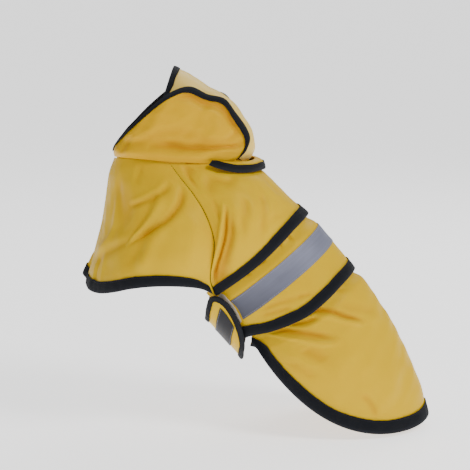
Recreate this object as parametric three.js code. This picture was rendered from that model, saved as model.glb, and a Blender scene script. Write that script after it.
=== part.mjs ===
// Dog raincoat with hood, shown as worn by a sitting dog. Millimetres, +Z up.
// The wearer faces -X, its left side is -Y, and the origin is at the withers, inside the yoke.
import * as THREE from "three";

// Cloth, binding and trim thicknesses
const CLOTH = 1.2; // wall of the coated cloth
const SEAM_GAP = 0.3; // clear space left at every seam
const LEG = 1.0; // one leg of a folded binding
const BINDING_CLEAR = 0.45; // clear space under it, as panels bend between their rows
const BINDING = 12; // width of the hem binding
const NARROW_BINDING = 6; // width of the binding on the hood
const STRAP_BINDING = 5; // width of the binding on the strap
const TRIM = 1.0; // reflective tape and hook-and-loop
const TAPE_WIDTH = 25; // reflective tape

// Body tube, from the hem of the yoke down to the hem of the back band
const TUBE_START = { x: 51.1, z: -41.4 }; // back line at the yoke's hem
const TUBE_SLOPE = 47.8; // degrees below level, towards the tail
const TUBE_HALF_WIDTH = 68;
const TUBE_HALF_DEPTH = 81;
const BAND_WIDTH = 82; // along the back line
const TAPE_START = 17.5; // from the yoke's hem to the reflective tape
const SIDE_END = 128; // degrees round from the back line to the coat's side ends
const BACK_LINE_DROP = 2.9; // how far the back line sinks at the band's hem

// Layers: how far a panel's top runs in under the hem above it
const UNDERLAP = 8;
const TUCK = 4; // how far it lies further in there
const REAR_TUCK = 4.8; // the same for the rear panel, whose binding runs in there too
const TUCK_FADE = 16; // distance below that hem where it is flush again

// Rear hem, a level oval that rises towards the side ends
const TAIL = { x: 190.5, z: -271 };
const HEM_HALF_LENGTH = 124;
const HEM_HALF_WIDTH = 74;
const HEM_RISE = 95;
const HEM_RISE_POWER = 3;
const HEM_DIP = 9.5;
const HEM_DIP_POWER = 0.62;
const REAR_BINDING = 13;

// How far the lines round the body lean towards the tail (+) or the head (-)
// round: degrees from the back line; upper: yoke hem; tape: its front edge; lower: band hem
const LEAN = [
  { round: 0, upper: 0, tape: 0, lower: 0 },
  { round: 40, upper: -4, tape: -3, lower: -4.5 },
  { round: 60, upper: -4, tape: -5, lower: -5.5 },
  { round: 80, upper: -4, tape: -7, lower: -8 },
  { round: 95, upper: -5, tape: -8.5, lower: -14 },
  { round: 110, upper: -6.5, tape: -9.5, lower: -21.5 },
  { round: 127, upper: -8, tape: -11, lower: -31 },
  { round: 145, upper: -9, tape: -12, lower: -34 },
];

// Belly strap: lean of the whole strap, and how far it stands off the band's layer
const STRAP_FRONT = 1; // front edge, from the yoke's hem line
const STRAP_REAR = 62;
const STRAP_SEAM = 231; // degrees round at the far side, where it is sewn to the band
const STRAP_RUN = [
  { round: 118, lean: -17, off: 6 },
  { round: 127, lean: -13.5, off: 6.1 },
  { round: 140, lean: -4, off: 6.2 },
  { round: 158, lean: 7, off: 4 },
  { round: 180, lean: 10, off: 1.4 },
  { round: 205, lean: 5, off: 0.4 },
  { round: 220, lean: -4, off: 0.1 },
  { round: 232, lean: -11, off: 0 },
];
// The strap's loose end: how far round it reaches at each share of its width
const STRAP_END = [
  { across: 0, round: 133 },
  { across: 0.03, round: 129 },
  { across: 0.1, round: 125.4 },
  { across: 0.22, round: 122.8 },
  { across: 0.4, round: 121.9 },
  { across: 0.62, round: 124 },
  { across: 0.8, round: 127.6 },
  { across: 0.91, round: 131.6 },
  { across: 0.97, round: 136 },
  { across: 1, round: 141 },
];

// Back line of the yoke, from the nape to its hem
const YOKE_BACK = [
  { x: -21, z: 16 },
  { x: -9, z: 12.5 },
  { x: 2.4, z: 5.5 },
  { x: 10, z: -3 },
  { x: 20.4, z: -13.7 },
  { x: 35, z: -27 },
  { x: 51.1, z: -41.4 },
];

// Back line of the rear panel, from just below the band's hem to the tail
const REAR_BACK = [
  { x: 115.5, z: -116.5 },
  { x: 131, z: -138 },
  { x: 146, z: -162 },
  { x: 161, z: -190 },
  { x: 173, z: -217 },
  { x: 182, z: -240 },
  { x: 190.5, z: -271 },
];

// Neck seam, from the throat round the left side to the nape
const NECK_FRONT = [
  { x: -164, y: 0, z: 22 },
  { x: -158, y: -21, z: 24 },
  { x: -142, y: -38, z: 25 },
  { x: -121, y: -47, z: 24 },
  { x: -101, y: -50, z: 22 },
];
const NECK_BACK = [
  { x: -21, y: 0, z: 16 },
  { x: -34, y: -27, z: 18 },
  { x: -54, y: -44, z: 20 },
  { x: -78, y: -50, z: 21 },
  { x: -101, y: -50, z: 22 },
];

// Raglan seam between front and yoke, from the neck to the hem
const RAGLAN = [
  { x: -101, y: -50, z: 22 },
  { x: -89.5, y: -58, z: 7.6 },
  { x: -76.5, y: -66, z: -7.5 },
  { x: -65, y: -72, z: -24.4 },
  { x: -57, y: -76, z: -41.7 },
  { x: -52.3, y: -77, z: -60 },
  { x: -53, y: -76, z: -75 },
  { x: -56, y: -72, z: -92 },
  { x: -56.5, y: -65, z: -106 },
];

// Centre front and the hem of a front, from the chest round to the raglan seam
const CENTRE_FRONT = [
  { x: -164, y: 0, z: 22 },
  { x: -170.3, y: 0, z: 5 },
  { x: -172.8, y: 0, z: -10.2 },
  { x: -175.8, y: 0, z: -30.5 },
  { x: -179.5, y: 0, z: -51 },
  { x: -184.9, y: 0, z: -71.5 },
  { x: -190.3, y: 0, z: -92 },
  { x: -196, y: 0, z: -112 },
  { x: -197.5, y: 0, z: -121 },
];
const FRONT_HEM = [
  { x: -197.5, y: 0, z: -121 },
  { x: -192.4, y: -20, z: -123.6 },
  { x: -180.5, y: -40, z: -123.3 },
  { x: -162, y: -62, z: -117.5 },
  { x: -144.7, y: -75, z: -111.4 },
  { x: -122, y: -83, z: -107 },
  { x: -100, y: -86, z: -105.8 },
  { x: -79, y: -81, z: -108 },
  { x: -66, y: -71, z: -112.5 },
];

// Upper edge of the hood's side, from the throat over the raised side down to the nape
const HOOD_RIM = [
  { x: -163, y: -4, z: 34 },
  { x: -157, y: -24, z: 44 },
  { x: -142, y: -42, z: 60 },
  { x: -122, y: -50, z: 80 },
  { x: -100, y: -49, z: 97 },
  { x: -79, y: -42, z: 103 },
  { x: -60, y: -35, z: 94 },
  { x: -42, y: -31, z: 89 },
  { x: -31, y: -29, z: 75 },
  { x: -18, y: -25, z: 56 },
  { x: -14.5, y: -24, z: 45 },
  { x: -18, y: -27, z: 34 },
  { x: -26, y: -29, z: 25 },
];
// Middle of the hood's turned-back crown, from its front arch down to the nape
const HOOD_BACK = [
  { x: -97, z: 122 },
  { x: -82, z: 115.5 },
  { x: -62, z: 102.5 },
  { x: -49, z: 95.5 },
  { x: -35.5, z: 86 },
  { x: -24.5, z: 74.5 },
  { x: -15.5, z: 60 },
  { x: -9, z: 44.5 },
  { x: -8, z: 31 },
  { x: -12.5, z: 22 },
  { x: -21, z: 16.5 },
];

// Peak, folded back over the nape: inner edge by the rim, and outer edge, turned down
const PEAK_INNER = [
  { x: -52, y: -51, z: 24 },
  { x: -39, y: -44, z: 22.5 },
  { x: -25, y: -35.5, z: 21.5 },
  { x: -12, y: -20, z: 21 },
  { x: -8, y: 0, z: 21 },
];
const PEAK_OUTER = [
  { x: -58, y: -54, z: 21 },
  { x: -45, y: -55, z: 16.6 },
  { x: -30, y: -49, z: 12.7 },
  { x: -14, y: -37, z: 11.2 },
  { x: -3, y: -20, z: 11.2 },
  { x: 2.5, y: 0, z: 10.8 },
];
const PEAK_CROWN = 1; // how far the peak rises above its inner edge before it turns down

// Largest folds of the cloth on each side: place as shares of the panel (along: from the centre
// line, down: from the neck), width as a share and depth in millimetres (negative sinks inwards)
const YOKE_FOLDS = [
  { along: [0.9, 0.9], down: [0.4, 0.8], width: 0.06, depth: -6 },
  { along: [0.8, 0.83], down: [0.4, 0.8], width: 0.06, depth: 2.5 },
];
const FRONT_FOLDS = [
  { along: [0.88, 0.36], down: [0.3, 0.82], width: 0.05, depth: -3.2 },
  { along: [0.8, 0.3], down: [0.12, 0.5], width: 0.05, depth: -2.4 },
  { along: [0.7, 0.42], down: [0.72, 0.98], width: 0.08, depth: 2.6 },
];

const v3 = (x, y, z) => new THREE.Vector3(x, y, z);
const mirrored = (p) => v3(p.x, -p.y, p.z);
const lerp = (a, b, t) => a + (b - a) * t;
const clamp01 = (t) => Math.min(1, Math.max(0, t));
const smooth = (a, b, t) => {
  const s = clamp01((t - a) / (b - a));
  return s * s * (3 - 2 * s);
};

// A smooth line through a table's points, by share of its length
function line(rows) {
  const points = rows.map((r) => v3(r.x, r.y ?? 0, r.z));
  const curve = new THREE.CatmullRomCurve3(points, false, "centripetal");
  return (t) => curve.getPointAt(clamp01(t));
}

// A column of a table as a smooth function of its first column
function column(rows, key, name) {
  const n = rows.length - 1;
  const slope = (i) => {
    const a = rows[Math.max(0, i - 1)];
    const b = rows[Math.min(n, i + 1)];
    return (b[name] - a[name]) / (b[key] - a[key]);
  };
  return (x) => {
    let i = 0;
    while (i < n - 1 && x > rows[i + 1][key]) i++;
    const a = rows[i];
    const b = rows[i + 1];
    const h = b[key] - a[key];
    const t = clamp01((x - a[key]) / h);
    const t2 = t * t;
    const t3 = t2 * t;
    return (
      (2 * t3 - 3 * t2 + 1) * a[name] +
      (t3 - 2 * t2 + t) * h * slope(i) +
      (3 * t2 - 2 * t3) * b[name] +
      (t3 - t2) * h * slope(i + 1)
    );
  };
}

// A panel stretched between four edges: u runs along the top and bottom edge, v down the sides
function stretched(top, bottom, left, right) {
  const corners = [top(0), top(1), bottom(0), bottom(1)];
  return (u, v) => {
    const p = v3(0, 0, 0);
    p.addScaledVector(top(u), 1 - v).addScaledVector(bottom(u), v);
    p.addScaledVector(left(v), 1 - u).addScaledVector(right(v), u);
    p.addScaledVector(corners[0], -(1 - u) * (1 - v));
    p.addScaledVector(corners[1], -u * (1 - v));
    p.addScaledVector(corners[2], -(1 - u) * v);
    p.addScaledVector(corners[3], -u * v);
    return p;
  };
}

// The outward normal of a surface, by small steps along u and v
function normalOf(surface, u, v, turn) {
  const e = 1e-3;
  const a = surface(Math.min(1, u + e), v).sub(surface(Math.max(0, u - e), v));
  const b = surface(u, Math.min(1, v + e)).sub(surface(u, Math.max(0, v - e)));
  return a.cross(b).multiplyScalar(turn).normalize();
}

// A surface with an amount raised along its normal
function raised(surface, amount, turn) {
  return (u, v) => {
    const n = normalOf(surface, u, v, turn);
    return surface(u, v).addScaledVector(n, amount(u, v));
  };
}

// Height of a set of folds at a place on a panel
function foldHeight(folds, u, v) {
  let height = 0;
  for (const f of folds) {
    const [u0, u1] = f.along;
    const [v0, v1] = f.down;
    const du = u1 - u0;
    const dv = v1 - v0;
    const t = clamp01(((u - u0) * du + (v - v0) * dv) / (du * du + dv * dv));
    const away = Math.hypot(u - lerp(u0, u1, t), v - lerp(v0, v1, t)) / f.width;
    height += f.depth * Math.exp(-away * away) * Math.min(1, 0.35 + 4 * t * (1 - t));
  }
  return height;
}

// Rows of a panel: for each u, points at chosen distances down the column, with their normals
function gridOf(surface, us, distances, turn) {
  const fine = 48;
  return us.map((u) => {
    const samples = [];
    for (let k = 0; k <= fine; k++) samples.push(surface(u, k / fine));
    const lengths = [0];
    for (let k = 1; k <= fine; k++) {
      lengths.push(lengths[k - 1] + samples[k].distanceTo(samples[k - 1]));
    }
    return distances(lengths[fine], u, surface).map((d) => {
      let k = 1;
      while (k < fine && lengths[k] < d) k++;
      const v = (k - 1 + (d - lengths[k - 1]) / (lengths[k] - lengths[k - 1])) / fine;
      return { p: surface(u, v), n: normalOf(surface, u, clamp01(v), turn) };
    });
  });
}

// Distances for a column: even steps, with a row where the binding of the hem ends
const rowsTo = (count, start, hem) => (length) => {
  const rows = [];
  const last = length - Math.min(hem, 0.7 * length);
  for (let k = 0; k < count; k++) rows.push(lerp(start, last, k / (count - 1)));
  if (hem > SEAM_GAP) rows.push(length);
  return rows;
};

// The same for a panel whose top lies tucked in, and whose columns may meet the hem at a slant:
// the binding keeps its width square to the hem
const MOST_SLANT = 2.6;
const tuckedRows = (count, hem) => (length, u, surface) => {
  const e = 0.01;
  const along = surface(Math.min(1, u + e), 1).sub(surface(Math.max(0, u - e), 1)).normalize();
  const down = surface(u, 1).sub(surface(u, 1 - e)).normalize();
  const slant = 1 / Math.max(1 / MOST_SLANT, along.cross(down).length());
  const last = length - Math.min(hem * slant, 0.6 * length);
  const flush = Math.min(UNDERLAP + TUCK_FADE, 0.7 * last);
  const rows = [0, Math.min(UNDERLAP + 2, 0.4 * last)];
  for (let k = 0; k <= count; k++) rows.push(lerp(flush, last, k / count));
  return [...rows, length];
};

const shares = (count, from = 0, to = 1) =>
  Array.from({ length: count + 1 }, (_, i) => lerp(from, to, i / count));

const offset = (grid, amount) =>
  grid.map((col) => col.map((g) => g.p.clone().addScaledVector(g.n, amount)));

// One closed solid between an outer and an inner grid of points
function shell(outer, inner) {
  const nu = outer.length;
  const nv = outer[0].length;
  const positions = [];
  for (const grid of [outer, inner]) {
    for (const col of grid) for (const p of col) positions.push(p.x, p.y, p.z);
  }
  const at = (side, i, j) => side * nu * nv + i * nv + j;
  const point = (a) => v3(positions[3 * a], positions[3 * a + 1], positions[3 * a + 2]);
  const apart = (a, b) => point(a).distanceTo(point(b));
  const index = [];
  const quad = (a, b, c, d) => {
    if (apart(a, c) <= apart(b, d)) index.push(a, b, c, a, c, d);
    else index.push(a, b, d, b, c, d);
  };
  for (let i = 0; i < nu - 1; i++) {
    for (let j = 0; j < nv - 1; j++) {
      quad(at(0, i, j), at(0, i + 1, j), at(0, i + 1, j + 1), at(0, i, j + 1));
      quad(at(1, i, j), at(1, i, j + 1), at(1, i + 1, j + 1), at(1, i + 1, j));
    }
  }
  for (let i = 0; i < nu - 1; i++) {
    const e = nv - 1;
    quad(at(0, i, 0), at(1, i, 0), at(1, i + 1, 0), at(0, i + 1, 0));
    quad(at(0, i, e), at(0, i + 1, e), at(1, i + 1, e), at(1, i, e));
  }
  for (let j = 0; j < nv - 1; j++) {
    const e = nu - 1;
    quad(at(0, 0, j), at(0, 0, j + 1), at(1, 0, j + 1), at(1, 0, j));
    quad(at(0, e, j), at(1, e, j), at(1, e, j + 1), at(0, e, j + 1));
  }
  const geometry = new THREE.BufferGeometry();
  geometry.setAttribute("position", new THREE.Float32BufferAttribute(positions, 3));
  geometry.setIndex(index);
  if (volumeOf(geometry) < 0) {
    for (let k = 0; k < index.length; k += 3) {
      const keep = index[k + 1];
      index[k + 1] = index[k + 2];
      index[k + 2] = keep;
    }
    geometry.setIndex(index);
  }
  geometry.computeVertexNormals();
  return geometry;
}

function volumeOf(geometry) {
  const pos = geometry.getAttribute("position");
  const index = geometry.getIndex().array;
  const [a, b, c] = [v3(0, 0, 0), v3(0, 0, 0), v3(0, 0, 0)];
  let sum = 0;
  for (let k = 0; k < index.length; k += 3) {
    a.fromBufferAttribute(pos, index[k]);
    b.fromBufferAttribute(pos, index[k + 1]);
    c.fromBufferAttribute(pos, index[k + 2]);
    sum += a.dot(b.cross(c)) / 6;
  }
  return sum;
}

const wall = (grid) => shell(offset(grid, CLOTH / 2), offset(grid, -CLOTH / 2));
const trim = (grid, from) => shell(offset(grid, from + TRIM), offset(grid, from));

// A folded binding over an edge. Each station has the edge point and normal, and the same a
// binding's width into the panel. deep and proud are distances into the panel and off its middle.
function bindingOver(stations, width, clear = BINDING_CLEAR) {
  const inside = CLOTH / 2 + clear;
  const outside = inside + LEG;
  const section = [
    { deep: width, outer: outside, inner: inside, innerDeep: width },
    { deep: -SEAM_GAP - LEG, outer: outside - 0.3, inner: inside, innerDeep: -SEAM_GAP },
  ];
  const half = section.length;
  const place = (s, deep, proud) => {
    const t = deep / width;
    const n = s.edgeNormal.clone().lerp(s.innerNormal, clamp01(t)).normalize();
    return s.edge.clone().lerp(s.inner, t).addScaledVector(n, proud);
  };
  const outer = [];
  const inner = [];
  for (const s of stations) {
    const colOuter = [];
    const colInner = [];
    for (let k = 0; k < 2 * half; k++) {
      const row = section[k < half ? k : 2 * half - 1 - k];
      const side = k < half ? 1 : -1;
      colOuter.push(place(s, row.deep, side * row.outer));
      colInner.push(place(s, row.innerDeep, side * row.inner));
    }
    outer.push(colOuter);
    inner.push(colInner);
  }
  return shell(outer, inner);
}

// Stations along the last row of a panel's grid
const hemStations = (grid) =>
  grid.map((col) => {
    const e = col.length - 1;
    return {
      edge: col[e].p,
      edgeNormal: col[e].n,
      inner: col[e - 1].p,
      innerNormal: col[e - 1].n,
    };
  });

// Stations with a share of the first and of the last step cut away
function shortened(stations, first, last) {
  const between = (a, b, t) => ({
    edge: a.edge.clone().lerp(b.edge, t),
    edgeNormal: a.edgeNormal.clone().lerp(b.edgeNormal, t).normalize(),
    inner: a.inner.clone().lerp(b.inner, t),
    innerNormal: a.innerNormal.clone().lerp(b.innerNormal, t).normalize(),
  });
  const n = stations.length - 1;
  const kept = stations.slice(1, n);
  return [
    between(stations[0], stations[1], first),
    ...kept,
    between(stations[n], stations[n - 1], last),
  ];
}

// Stations along any path that lies on a surface, given its points and normals
function pathStations(path, width, side) {
  return path.map((s, i) => {
    const a = path[Math.max(0, i - 1)].p;
    const b = path[Math.min(path.length - 1, i + 1)].p;
    const along = b.clone().sub(a).normalize();
    const into = s.n.clone().cross(along).normalize().multiplyScalar(side);
    const inner = s.p.clone().addScaledVector(into, width);
    return { edge: s.p, edgeNormal: s.n, inner, innerNormal: s.n };
  });
}

const group = new THREE.Group();
group.name = "dog_raincoat";
const finishes = {
  coat: { color: 0xf2c531, roughness: 0.55, metalness: 0 },
  binding: { color: 0x17181d, roughness: 0.8, metalness: 0 },
  tape: { color: 0x9a9fb0, roughness: 0.35, metalness: 0.2 },
  hook: { color: 0xe6dccb, roughness: 0.95, metalness: 0 },
};
function add(name, finish, geometry) {
  const mesh = new THREE.Mesh(geometry, new THREE.MeshStandardMaterial(finishes[finish]));
  mesh.name = name;
  group.add(mesh);
}

// Body tube: a place by degrees round from the back line (+ left, - right), by the distance from
// the yoke's hem along the back line, by its lean along the body and by how far it stands off
const slope = THREE.MathUtils.degToRad(TUBE_SLOPE);
const towardsTail = v3(Math.cos(slope), 0, -Math.sin(slope));
const towardsBelly = v3(-Math.sin(slope), 0, -Math.cos(slope));
const leanUpper = column(LEAN, "round", "upper");
const leanTape = column(LEAN, "round", "tape");
const leanLower = column(LEAN, "round", "lower");
function bodyLean(round, down) {
  const r = Math.abs(round);
  const near = leanTape(r);
  if (down < TAPE_START) return lerp(leanUpper(r), near, down / TAPE_START);
  const t = clamp01((down - TAPE_START - TAPE_WIDTH) / (BAND_WIDTH - TAPE_START - TAPE_WIDTH));
  return lerp(near, leanLower(r), t);
}
function tubePoint(round, down, lean, off = 0) {
  const a = THREE.MathUtils.degToRad(round);
  const sink = BACK_LINE_DROP * (clamp01(down / BAND_WIDTH) ** 3);
  const side = (TUBE_HALF_WIDTH + off) * Math.sin(a);
  const under = TUBE_HALF_DEPTH * (1 - Math.cos(a)) - off * Math.cos(a);
  return v3(TUBE_START.x, -side, TUBE_START.z)
    .addScaledVector(towardsTail, down + lean)
    .addScaledVector(towardsBelly, sink + under);
}
const bandPoint = (round, down) => tubePoint(round, down, bodyLean(round, down));

// Yoke: both sides in one piece, from the left raglan seam over the back to the right one
const neckBack = line(NECK_BACK);
const neckFront = line(NECK_FRONT);
const sideEnd = bandPoint(SIDE_END, 0);
const raglanRows = [...RAGLAN, { x: sideEnd.x, y: sideEnd.y, z: sideEnd.z }];
const raglan = line(raglanRows);
const yokeHem = (t) => bandPoint(SIDE_END * clamp01(t), 0);
const yokeHalf = stretched(neckBack, yokeHem, line(YOKE_BACK), raglan);
const yokeLeft = raised(yokeHalf, (u, v) => foldHeight(YOKE_FOLDS, u, v), 1);
// across: -1 at the right seam, 0 at the back line, 1 at the left seam
const twoSided = (left) => (across, v) => {
  const p = left(Math.abs(across), v);
  return across < 0 ? mirrored(p) : p;
};
const yoke = (t, v) => twoSided(yokeLeft)(lerp(-1, 1, t), v);
const SEAM_SHARE = 0.002; // seam gap as a share of the yoke's width
const NECK_ROWS = 9; // rows of a panel from the neck to its hem
const NECK_GAP = 0.5; // from the neck line to a panel's edge
const BODY_STEPS = 34; // columns round the body
const yokeSteps = shares(BODY_STEPS, SEAM_SHARE, 1 - SEAM_SHARE);
const yokeGrid = gridOf(yoke, yokeSteps, rowsTo(NECK_ROWS, NECK_GAP, BINDING), 1);
add("yoke", "coat", wall(yokeGrid));
add("yoke_binding", "binding", bindingOver(hemStations(yokeGrid), BINDING));

// Fronts: the left one overlaps the right one at the centre front
const FRONT_SEAM_SHARE = 0.0024; // seam gap as a share of a front's width
const hemRows = [...FRONT_HEM, sideEnd];
const frontHalf = stretched(neckFront, line(hemRows), line(CENTRE_FRONT), raglan);
const frontLeft = raised(frontHalf, (u, v) => foldHeight(FRONT_FOLDS, u, v), -1);
const frontLeftGrid = gridOf(
  frontLeft,
  shares(17, 0, 1 - FRONT_SEAM_SHARE),
  rowsTo(NECK_ROWS, NECK_GAP, BINDING),
  -1,
);
add("front_left", "coat", wall(frontLeftGrid));
const frontLeftHem = shortened(hemStations(frontLeftGrid), 0, 0.45);
add("front_binding_left", "binding", bindingOver(frontLeftHem, BINDING));

// The right front runs in under the left one at the chest, and its corner stands forward
const LAP = 18; // how far the fronts lap
const LAP_INSET = 4.9;
const CORNER_OUT = 12;
const CORNER_UP = 8;
const frontWidth = 190;
const frontRight = (t, v) => {
  const u = lerp(-LAP / frontWidth, 1, t);
  const n = normalOf(frontLeft, Math.abs(u), v, -1);
  const p = frontLeft(Math.abs(u), v);
  const under = 1 - smooth(0.02, 0.12, u);
  const corner = smooth(0.01, 0.1, u) * (1 - smooth(0.12, 0.4, u)) * v * v * v;
  p.addScaledVector(n, -LAP_INSET * under + CORNER_OUT * corner);
  p.z += CORNER_UP * corner;
  return u < 0 ? p : mirrored(p);
};
const frontRightGrid = gridOf(
  frontRight,
  shares(20, 0, 1 - FRONT_SEAM_SHARE),
  rowsTo(NECK_ROWS, NECK_GAP, BINDING),
  1,
);
add("front_right", "coat", wall(frontRightGrid));
const frontRightHem = shortened(hemStations(frontRightGrid), 0, 0.45);
add("front_binding_right", "binding", bindingOver(frontRightHem, BINDING));

// Hook-and-loop in the lap of the chest: hook inside the left front, loop on the right one
const CHEST_TAPE = { from: 0.016, to: 0.088, top: 0.14, bottom: 0.74 };
const chestTape = (u, v) =>
  frontLeft(lerp(CHEST_TAPE.from, CHEST_TAPE.to, u), lerp(CHEST_TAPE.top, CHEST_TAPE.bottom, v));
const chestGrid = gridOf(chestTape, shares(2), rowsTo(7, 0, 0), -1);
const chestFrom = CLOTH / 2 + SEAM_GAP + 0.15;
add("chest_hook_tape", "hook", trim(chestGrid, -chestFrom - TRIM));
add("chest_loop_tape", "hook", trim(chestGrid, chestFrom - LAP_INSET));

// Back band: runs in under the yoke's hem, from the right side seam to the left side end
const BAND_LEFT_END = 138;
const BAND_RIGHT_END = STRAP_SEAM - 360;
const tuckAt = (distance) => 1 - smooth(UNDERLAP + 2, UNDERLAP + TUCK_FADE, distance);
const band = (t, v) =>
  bandPoint(lerp(BAND_RIGHT_END, BAND_LEFT_END, t), lerp(-UNDERLAP, BAND_WIDTH, v));
const bandTucked = raised(band, (u, v) => -TUCK * tuckAt(v * (UNDERLAP + BAND_WIDTH)), 1);
const bandGrid = gridOf(bandTucked, shares(BODY_STEPS), tuckedRows(4, BINDING), 1);
add("back_band", "coat", wall(bandGrid));
const bandHem = shortened(hemStations(bandGrid), 0.3, 0.2);
add("band_binding", "binding", bindingOver(bandHem, BINDING));

// Belly strap: from the seam at the band's right end under the belly to its loose left end
const strapLean = column(STRAP_RUN, "round", "lean");
const strapOff = column(STRAP_RUN, "round", "off");
const strapEnd = column(STRAP_END, "across", "round");
const STRAP_SEAM_GAP = 1.3; // degrees
const strap = (u, v) => {
  const round = lerp(strapEnd(v), STRAP_SEAM - STRAP_SEAM_GAP, u);
  const down = lerp(STRAP_FRONT, STRAP_REAR, v);
  return tubePoint(round, down, strapLean(round), strapOff(round));
};
const strapSteps = [0, 0.02, 0.045, 0.075, ...shares(12, 0.11, 1)];
const strapRows = (length) => STRAP_END.map((row) => row.across * length);
const strapGrid = gridOf(strap, strapSteps, strapRows, 1);
add("belly_strap", "coat", wall(strapGrid));
const lastRow = STRAP_END.length - 1;
const strapEdge = [
  ...strapGrid.map((col) => col[0]).reverse(),
  ...strapGrid[0].slice(1, lastRow),
  ...strapGrid.map((col) => col[lastRow]),
];
const strapStations = shortened(pathStations(strapEdge, STRAP_BINDING, -1), 0.25, 0.25);
add("strap_binding", "binding", bindingOver(strapStations, STRAP_BINDING, 0.5));

// Hook-and-loop under the strap's end: loop on the band, hook on the strap
const PATCH_PEEK = 0.8; // degrees of the loop tape that show past the strap
const LOOP_ACROSS = { from: 0.09, to: 0.78 }; // shares of the strap's width
const HOOK_ACROSS = { from: 0.15, to: 0.69 };
const TAPE_ACROSS = { from: 0.27, to: 0.68 };
const PATCH_REACH = 12; // degrees
const patchFrom = CLOTH / 2 + SEAM_GAP;
const strapTrimFrom = patchFrom + 0.2; // the strap bends more sharply than the band
const patchPlace = (u, v) => {
  const across = lerp(LOOP_ACROSS.from, LOOP_ACROSS.to, v);
  const round = lerp(strapEnd(across) - PATCH_PEEK, strapEnd(across) + PATCH_REACH, u);
  return { across, round };
};
const loopPatch = (u, v) => {
  const { across, round } = patchPlace(u, v);
  const down = lerp(STRAP_FRONT, STRAP_REAR, across) + strapLean(round) - bodyLean(round, 30);
  const t = (round - BAND_RIGHT_END) / (BAND_LEFT_END - BAND_RIGHT_END);
  return bandTucked(t, (down + UNDERLAP) / (BAND_WIDTH + UNDERLAP));
};
const loopGrid = gridOf(loopPatch, shares(4), rowsTo(7, 0, 0), 1);
add("strap_loop_tape", "hook", trim(loopGrid, patchFrom));
const HOOK_START = 7; // degrees in from the strap's end, clear of its binding
const hookPatch = (u, v) => {
  const across = lerp(HOOK_ACROSS.from, HOOK_ACROSS.to, v);
  const share = lerp(HOOK_START, HOOK_START + PATCH_REACH, u) / (STRAP_SEAM - strapEnd(across));
  return strap(share, across);
};
const hookGrid = gridOf(hookPatch, shares(4), rowsTo(5, 0, 0), 1);
add("strap_hook_tape", "hook", trim(hookGrid, -strapTrimFrom - TRIM));

// Reflective tape on the band, up to the loop tape, and on the strap
const tapeOnBand = (t, v) => {
  const down = lerp(TAPE_START, TAPE_START + TAPE_WIDTH, v);
  const end = strapEnd(lerp(TAPE_ACROSS.from, TAPE_ACROSS.to, v)) - PATCH_PEEK - 1;
  const round = lerp(BAND_RIGHT_END, end, t);
  const share = (round - BAND_RIGHT_END) / (BAND_LEFT_END - BAND_RIGHT_END);
  return bandTucked(share, (down + UNDERLAP) / (BAND_WIDTH + UNDERLAP));
};
const tapeGrid = gridOf(tapeOnBand, shares(BODY_STEPS - 2), rowsTo(3, 0, 0), 1);
add("reflective_tape_back", "tape", trim(tapeGrid, patchFrom));
const strapTape = (u, v) => {
  const down = lerp(TAPE_START, TAPE_START + TAPE_WIDTH, v);
  const across = (down - STRAP_FRONT) / (STRAP_REAR - STRAP_FRONT);
  const start = HOOK_START / (STRAP_SEAM - strapEnd(across));
  return strap(lerp(start, 1, u), across);
};
const strapTapeGrid = gridOf(strapTape, shares(12), rowsTo(3, 0, 0), 1);
add("reflective_tape_strap", "tape", trim(strapTapeGrid, strapTrimFrom));

// Rear panel: from under the band's hem to the rounded tail
const rearHem = (t) => {
  const a = THREE.MathUtils.degToRad(SIDE_END * clamp01(t));
  const share = (1 - Math.cos(a)) / (1 - Math.cos(THREE.MathUtils.degToRad(SIDE_END)));
  const dip = HEM_DIP * Math.sin(Math.PI * share ** HEM_DIP_POWER);
  const rise = HEM_RISE * share ** HEM_RISE_POWER - dip;
  return v3(
    TAIL.x - HEM_HALF_LENGTH * (1 - Math.cos(a)),
    -HEM_HALF_WIDTH * Math.sin(a),
    TAIL.z + rise,
  );
};
const rearTop = (t) => bandPoint(SIDE_END * clamp01(t), BAND_WIDTH - UNDERLAP);
const rearBack = line([rearTop(0), ...REAR_BACK]);
const rearSide = (v) => rearTop(1).lerp(rearHem(1), v);
const rearHalf = stretched(rearTop, rearHem, rearBack, rearSide);
const THIGH_ROOM = 7; // how far the sides of the rear panel stand out half way down
const rearLength = (u) => rearTop(u).distanceTo(rearHem(u));
const rearFull = raised(
  rearHalf,
  (u, v) =>
    THIGH_ROOM * Math.sin(Math.PI * v) ** 2 * smooth(0.15, 0.5, u) * (1 - smooth(0.75, 1, u)) -
    REAR_TUCK * tuckAt(v * rearLength(u)),
  1,
);
const rear = (t, v) => twoSided(rearFull)(lerp(-1, 1, t), v);
const rearGrid = gridOf(rear, shares(BODY_STEPS), tuckedRows(8, REAR_BINDING), 1);
add("rear_panel", "coat", wall(rearGrid));
add("rear_binding", "binding", bindingOver(hemStations(rearGrid), REAR_BINDING));

// Hood: two sides from the neck seam to the rim, and the crown that is turned back between them
const SIDE_SHARE = 0.82; // share of the left neck seam that a side of the hood takes
const neckLine = line([...NECK_FRONT, ...NECK_BACK.slice(0, -1).reverse()]);
const neck = (t) => neckLine(t * SIDE_SHARE);
const rim = line(HOOD_RIM);
const hoodFront = (v) => neck(0).lerp(rim(0), v);
const hoodEnd = (v) => neck(1).lerp(rim(1), v);
const hoodFlat = stretched(neck, rim, hoodFront, hoodEnd);
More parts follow.
